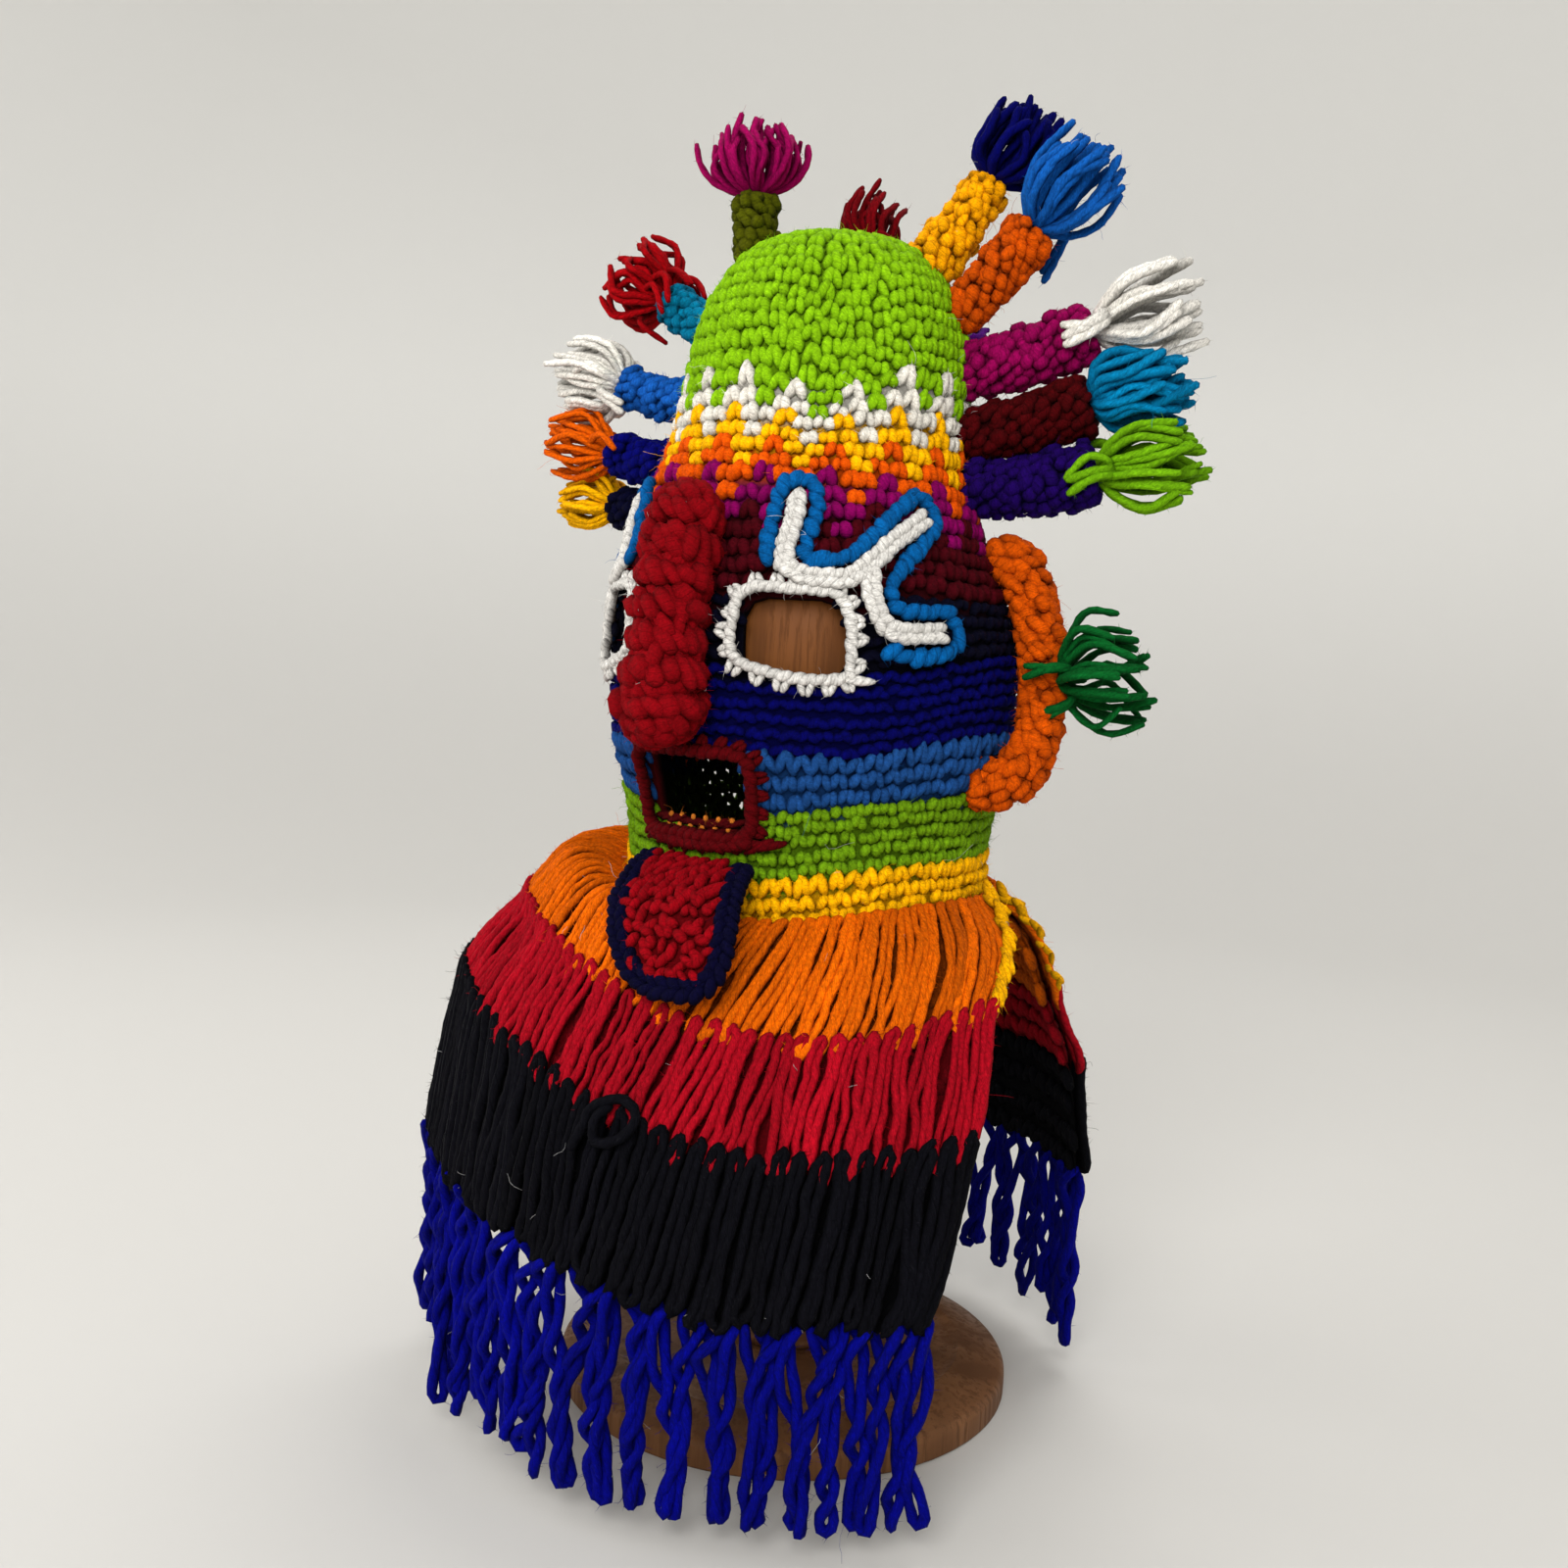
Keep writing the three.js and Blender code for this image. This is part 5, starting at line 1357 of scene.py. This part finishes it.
def front_section(azimuth, share):
    """Radius and height of the front flap: higher on its right side, where it lies over a fold."""
    to_right = 1 - smoothly(azimuth, *COLLAR_TURN)
    rise = SHOULDER["high"] * np.clip((azimuth - SHOULDER["from"]) / SHOULDER["over"], 0, 1) ** 2
    rise = rise * np.interp(share * 4, samples, rise_curve[:, 0])
    at_left, at_right = (
        [np.interp(share * 4, samples, column) for column in curve.T] for curve in (left_curve, right_curve)
    )
    radius, height = (
        left * (1 - to_right) + right_side * to_right for left, right_side in zip(at_left, at_right)
    )
    drop = NECK_DROP["deep"] * (1 - smoothly(np.abs(azimuth), NECK_DROP["from"], NECK_DROP["to"]))
    return radius, height + rise - drop * np.interp(share * 4, range(5), NECK_DROP["fades"])


def back_section(azimuth, share):
    """Radius and height of the back flap, the same all the way across."""
    return [np.interp(share * 4, samples, column) for column in back_curve.T]


# How far round each flap reaches to either side, from the neck to the lower edge, and its flat size
FLAPS = {
    "front": {
        "middle": 0, "spread": (107, 92, 77, 67, 58), "section": front_section, "flat": (0.33, 0.165),
    },
    "back": {
        "middle": 180, "spread": (68, 62, 56, 51, 46), "section": back_section, "flat": (0.215, 0.15),
    },
}


def on_flap(flap, across, down, depth):
    """A point of a flap: its place across from -1 to 1, its share down and its distance outside."""
    across, down, depth = np.broadcast_arrays(np.asarray(across, float), down, depth)
    share = np.clip(down, 0, 1)
    azimuth = across * np.interp(share * 4, range(5), flap["spread"])
    radius, height = flap["section"](azimuth, share)
    base = np.minimum(share, 0.99)
    low, high = flap["section"](azimuth, base), flap["section"](azimuth, base + 0.01)
    slope = unit(np.stack([high[0] - low[0], high[1] - low[1]], -1))
    a = np.radians(flap["middle"] + azimuth)
    r = radius - slope[..., 1] * depth
    z = height + slope[..., 0] * depth - np.maximum(down - 1, 0) * 100
    return np.stack([r * np.sin(a), -r * np.cos(a), z], -1)


def flap_outward(flap, across, down):
    """Which way is out of a flap, at a place on it."""
    down = np.minimum(down, 0.99)
    return unit(on_flap(flap, across, down, 1) - on_flap(flap, across, down, 0))


def hanging_loops(band, count, seed):
    """Long loops of a band, each a line of points down one strand, round its end and up the other."""
    draw = np.random.default_rng(seed)
    t = np.linspace(0, 1, LOOP["points"])[None]
    lift = LOOP_LIFT["over_a_band"] if band["from"] else LOOP_LIFT["at_the_neck"]
    lift = LOOP["off"] + LOOP["hangs_out"] * t**0.7 + lift * np.exp(-t * LOOP_LIFT["fades"])
    place = ((np.arange(count) + 0.5) / count * 2 - 1)[:, None]
    quarter = 0.5 / count
    apart = LOOP["apart"] * quarter * (1 - np.abs(2 * t - 1) ** 14) ** 0.5
    eye = draw.uniform(0, 1, (count, 1)) < LOOP["eyes"]
    apart = apart * (1 + np.where(eye, 0.8, -0.1) * bell(t - LOOP["eye_at"], 0.09))
    lean = np.interp(place, LOOP_LEAN["places"], LOOP_LEAN["leans"]) * (band["to"] - band["from"]) * 2
    sway = draw.normal(0, 0.55, (count, 1)) * np.sin(np.pi * t * draw.uniform(0.8, 2.2, (count, 1)))
    middle = place + lean * (0.5 - t) + quarter * (sway + draw.normal(0, 0.4, (count, 1)) * t)
    strands = []
    for strand in (1, -1):
        wander = quarter * sum(
            draw.normal(0, 0.34 / wave**0.55, (count, 1)) * np.sin(wave * np.pi * t)
            for wave in (1, 2, 4, 7, 11)
        )
        across = np.clip(middle + strand * apart + wander, -0.985, 0.985)
        reach = band["to"] - band["from"] + draw.normal(0, 0.012, (count, 1))
        down = band["from"] + draw.normal(0, 0.005, (count, 1)) + reach * t
        rough = sum(
            draw.normal(0, 0.6 / wave**0.7, (count, 1)) * np.sin(wave * np.pi * t) for wave in (1, 3, 6)
        )
        strands.append((across, down, lift + rough - np.where(t > 0.95, (t - 0.95) * 24, 0)))
    return [np.concatenate([one, other[:, ::-1]], 1) for one, other in zip(*strands)]


def band_tones(down):
    """The tone of the band that is at a share of the way down."""
    tones = np.array([dyed(*band["yarn"]) for band in COLLAR_BANDS])
    return tones[(down[..., None] >= BAND_CHANGES).sum(-1)]


collar_wool = wool("collar_wool", twist=0.3, ply=0.35, fibre=0.5, relief=0.8)
collar_pieces = {}
for side, (flap_name, flap) in enumerate(FLAPS.items()):
    net = WoolPiece()
    u, v = np.meshgrid(np.linspace(-1, 1, NET["columns"]), np.linspace(0, 1, NET["rows"]))
    # Painted shade: the net is its band's yarn darkened, as it lies under the loops.
    tones = band_tones(v).reshape(-1, 3) * NET["shade"]
    places = np.stack([u * NET["pattern"][0], 0 * u, v * NET["pattern"][1]], 2)
    quads = grid_faces(*u.shape)[:, ::-1]
    net.add(on_flap(flap, u, v, NET["out"]), quads, NO_TRIANGLES, tones, places)
    made_pieces = [(f"collar_net_{flap_name}", net)]
    lining = WoolPiece()
    wide, tall = (size / MM for size in flap["flat"])
    rows, count = round(tall / NET_STITCH["size"]), round(wide / NET_STITCH["size"])
    columns = (np.arange(count) + 0.5) / count * 2 - 1
    v, u = np.meshgrid((np.arange(rows) + 0.5) / rows, columns, indexing="ij")
    u, v = np.clip(u + (np.arange(rows)[:, None] % 2 - 0.5) / count, -0.97, 0.97).ravel(), v.ravel()
    out = NET_STITCH["out"]
    middles = on_flap(flap, u, v, out)
    up = unit(on_flap(flap, u, v - 0.01, out) - middles)
    left_ends, right_ends = (on_flap(flap, u + step / count, v, out) for step in (1, -1))
    span = np.linalg.norm(left_ends - right_ends, axis=1)
    # Painted shade: the stitches under the loops are their band's yarn darkened.
    tones = band_tones(v) * NET_STITCH["shade"]
    stitch_legs(lining, middles, up, -flap_outward(flap, u, v), tones, 505 + side, width=span,
                tall=tall / rows, lean=24, **COARSE)
    made_pieces.append((f"collar_stitches_{flap_name}", lining))
    for number, band in enumerate(COLLAR_BANDS):
        draw = np.random.default_rng(500 + 10 * side + number)
        across, down, depth = hanging_loops(band, band["loops"][side], 500 + 10 * side + number)
        paths = on_flap(flap, across, down, depth)
        radii = band["radius"] * (1 + draw.normal(0, 0.08, (len(paths), 1)))
        waves = np.linspace(0, 31, paths.shape[1]) + draw.uniform(0, 6, (len(paths), 1))
        radii = radii * (1 + 0.07 * np.sin(waves))
        loops = WoolPiece()
        lay_strands(loops, paths, radii, dyed(*band["yarn"]), 520 + number,
                    outward=flap_outward(flap, across, down), dark=0.3, tint=0.12, lobes=0.16)
        if number == 0:
            for edge_side in (-1, 1):
                way_down = np.linspace(band["from"] + 0.02, band["to"] - 0.01, 40)
                across = edge_side * YELLOW_EDGE["across"]
                line = on_flap(flap, across, way_down, YELLOW_EDGE["out"] + np.sin(way_down * 60))
                lay_rope(loops, line, flap_outward(flap, across, way_down), YELLOW_EDGE["width"],
                         YELLOW_EDGE["link"], dyed(*YELLOW_EDGE["yarn"]), 540 + number, YELLOW_EDGE["lean"])
        made_pieces.append((f"{band['name']}_loops_{flap_name}", loops))
    collar_pieces[flap_name] = [
        dress(piece.made(name, collar_wool), "collar_wool", "collar_" + flap_name)
        for name, piece in made_pieces
    ]

across, down, depth = through(LOOSE_LOOP, 60).T
path = on_flap(FLAPS["front"], across, down, depth)
loose_loop = WoolPiece()
lay_strands(loose_loop, path[None], 2.2, dyed(*COLLAR_BANDS[2]["yarn"]), 560, sides=8, lobes=0.16, dark=0.4,
            outward=flap_outward(FLAPS["front"], across, down)[None])
loose_object = dress(loose_loop.made("loose_black_loop", collar_wool), "collar_wool", "collar_front")
collar_pieces["front"].append(loose_object)

# Fringes: along the lower edge of each flap hang loops of bright blue yarn. Each loop is twisted on
# itself, so that two strands wind round each other and end in a small eye.
FRINGE_BLUE = (2, 9, 110)
FRINGES = {"front": {"loops": 42, "length": 94}, "back": {"loops": 21, "length": 76}}
FRINGE = {"radius": 2.5, "apart": 2.3, "turn": 44, "eye": 2.9, "lowest": 18, "top": 0.985, "points": 66}
FRINGE_TOP = {"opens": 3.4, "over": 12}
# The loops hang in threes, whose outer two lean towards the middle one
BUNCH = (0.3, 0.0, -0.3)
BUNCH_LEAN = 14
fringe_wool = wool("fringe_wool", twist=0.22, ply=0.4, fibre=0.9, relief=0.9)


def twisted_loop(flap, fringe, number, draw):
    """One loop of a fringe: down one strand, round the eye at its end, and up the other."""
    bunch = BUNCH[number % 3]
    place = (number + 0.5 + bunch + draw.normal(0, 0.1)) / fringe["loops"] * 2 - 1
    place = float(np.clip(place, -0.97, 0.97))
    length = fringe["length"] * (0.93 + 0.17 * math.sin(5.1 * number + 1) * math.cos(1.7 * number))
    top = on_flap(flap, place, FRINGE["top"], draw.uniform(-1.2, 0.8))
    length = min(length, top[2] - FRINGE["lowest"])
    sideways = unit(on_flap(flap, place + 0.01, FRINGE["top"], 0) - on_flap(flap, place, FRINGE["top"], 0))
    outward = unit(flap_outward(flap, place, FRINGE["top"]) * (1, 1, 0))
    t = np.linspace(0, 1, 34)
    sway = (4 * math.sin(3.3 * number) - bunch * BUNCH_LEAN) * t
    sway = sway + draw.normal(0, 2.2) * np.sin(2.2 * np.pi * t)
    sway = sway - 12 * max(0, -place - 0.5) * t**2
    out_sway = draw.normal(0, 2.2) * t**1.5 + 1.5 * np.sin(np.pi * t * draw.uniform(0.8, 1.8))
    middle = top + np.outer(t, (0, 0, -length)) + np.outer(sway, sideways) + np.outer(out_sway, outward)
    slack = 1 + 0.3 * np.sin(t * draw.uniform(7, 15) + number) + draw.normal(0, 0.12)
    apart = FRINGE_TOP["opens"] * np.exp(-t * length / FRINGE_TOP["over"]) + FRINGE["apart"] * slack
    angle = (t * length) * 2 * np.pi / (FRINGE["turn"] * draw.uniform(0.75, 1.3)) + draw.uniform(-0.5, 0.5)
    angle = angle + 0.7 * np.sin(t * 9 + 2 * number)
    offset = np.outer(apart * np.cos(angle), sideways) + np.outer(apart * np.sin(angle), outward)
    bend = np.linspace(0, np.pi, 9)[1:-1]
    eye = middle[-1] + np.outer(FRINGE["eye"] * np.cos(bend), unit(offset[-1]))
    eye = eye - np.outer(FRINGE["eye"] * 1.5 * np.sin(bend), (0, 0, 1))
    return evenly(np.vstack([middle + offset, eye, (middle - offset)[::-1]]), FRINGE["points"])


for side, (flap_name, fringe) in enumerate(FRINGES.items()):
    flap = FLAPS[flap_name]
    draw = np.random.default_rng(600 + side)
    paths = np.array([twisted_loop(flap, fringe, number, draw) for number in range(fringe["loops"])])
    made = WoolPiece()
    lay_strands(made, paths, FRINGE["radius"], dyed(*FRINGE_BLUE), 610 + side, lobes=0.2, twist=0.22,
                outward=unit(paths * (1, 1, 0)), dark=0.5, tint=0.12)
    hanging = made.made(f"twisted_fringe_{flap_name}", fringe_wool)
    dress(hanging, "fringe_wool", "fringe_" + flap_name)

# Loose fibres: fine hairs of the wool stand out of the yarn all over the mask and soften its edges, and
# a few long ones hang free.
# A fibre takes the yarn's colour where it roots, painted shade included, made lighter by its tone as a
# painted sheen
SHORT_FIBRES = {"count": 35000, "length": 2.1, "radius": 0.13, "tone": 1.25}
LONG_FIBRES = {"count": 1900, "length": 5.5, "radius": 0.07, "tone": 1.2, "pale": 0.1, "pale_tone": 0.5}
# They root where the yarn's colour, painted shade included, is bright, and on the far side of the mask there
# are fewer
LIT_FROM = 0.55
FAR_SIDE = {"reach": 110, "share": 0.35}
COVERED = (
    "hood_lining", "collar_net_front", "collar_net_back", "collar_stitches_front", "collar_stitches_back",
)


def lit_places(mesh):
    """A piece's lit points, one a row: place, way out, tone, and how much of the wool it stands for."""
    size = len(mesh.vertices)
    places, normals, tones = np.empty(size * 3), np.empty(size * 3), np.empty(size * 4)
    mesh.vertices.foreach_get("co", places)
    mesh.vertex_normals.foreach_get("vector", normals)
    mesh.attributes["yarn"].data.foreach_get("color", tones)
    places, normals, tones = places.reshape(-1, 3) / MM, normals.reshape(-1, 3), tones.reshape(-1, 4)[:, :3]
    lit = tones.sum(1) > LIT_FROM * np.quantile(tones.sum(1), 0.9)
    area = sum(face.area for face in mesh.polygons) / MM**2
    azimuths = np.degrees(np.arctan2(places[:, 0], -places[:, 1]))
    near = np.abs(azimuths - CAMERA_SIDE["azimuth"]) < FAR_SIDE["reach"]
    weight = np.where(near, 1, FAR_SIDE["share"])
    return np.hstack([places, normals, tones, weight[:, None] * area / lit.sum()])[lit]


found = np.vstack([
    lit_places(woollen.data) for woollen in bpy.data.objects
    if woollen.type == "MESH" and "yarn" in woollen.data.attributes and woollen.name not in COVERED
])
chance = found[:, 9] / found[:, 9].sum()
draw = np.random.default_rng(700)


def drawn_roots(count):
    """Places, ways out and tones at which that many fibres are rooted."""
    return np.split(found[draw.choice(len(found), count, p=chance), :9], 3, 1)


# A short fibre is a pyramid on three corners, and a long one a thin strand that bends and curls
roots, facing, tones = drawn_roots(SHORT_FIBRES["count"])
facing = facing * draw.uniform(0.3, 1.2, (len(roots), 1)) + draw.normal(0, 0.55, roots.shape)
facing = unit(facing - (0, 0, 0.15))
around = unit(np.cross(facing, draw.normal(0, 1, roots.shape)))
thirds = [around * math.cos(a) + np.cross(facing, around) * math.sin(a) for a in (0, 2.094, 4.189)]
length = SHORT_FIBRES["length"] * draw.gamma(4, 0.25, (len(roots), 1))
corners = [roots - facing * 0.3 + third * SHORT_FIBRES["radius"] for third in thirds]
corners = np.stack([*corners, roots + facing * length], 1)
faces = np.array([(0, 1, 3), (1, 2, 3), (2, 0, 3)]) + np.arange(len(roots))[:, None, None] * 4
# Painted sheen: the short fibres are lighter than their yarn.
tones = np.repeat(tones[:, None] * SHORT_FIBRES["tone"], 4, 1)
short_fibres = WoolPiece()
short_fibres.add(corners, np.zeros((0, 4), int), faces, tones, np.zeros((len(roots), 4, 3)))
dress(short_fibres.made("short_fibres", hood_wool), "hood_wool")

roots, facing, tones = drawn_roots(LONG_FIBRES["count"])
pale = draw.uniform(0, 1, (len(roots), 1)) < LONG_FIBRES["pale"]
t = np.linspace(0, 1, 5)[None, :, None]
length = LONG_FIBRES["length"] * draw.gamma(3, 0.33, (len(roots), 1, 1))
facing = unit(facing + draw.normal(0, 0.6, roots.shape))[:, None]
bend = unit(draw.normal(0, 1, roots.shape) - (0, 0, 0.4))[:, None]
curl = unit(draw.normal(0, 1, roots.shape))[:, None]
shape = facing * t * (1 - 0.35 * t) + bend * 0.5 * t**2 + curl * 0.12 * np.sin(5 * t)
paths = roots[:, None] + length * shape
# Painted sheen: the long fibres are lighter than their yarn, except the pale ones.
tones = np.where(pale, LONG_FIBRES["pale_tone"], tones * LONG_FIBRES["tone"])
long_fibres = WoolPiece()
lay_strands(long_fibres, paths, LONG_FIBRES["radius"], tones, 701, sides=3)
dress(long_fibres.made("long_fibres", hood_wool), "hood_wool")

bpy.context.view_layer.update()
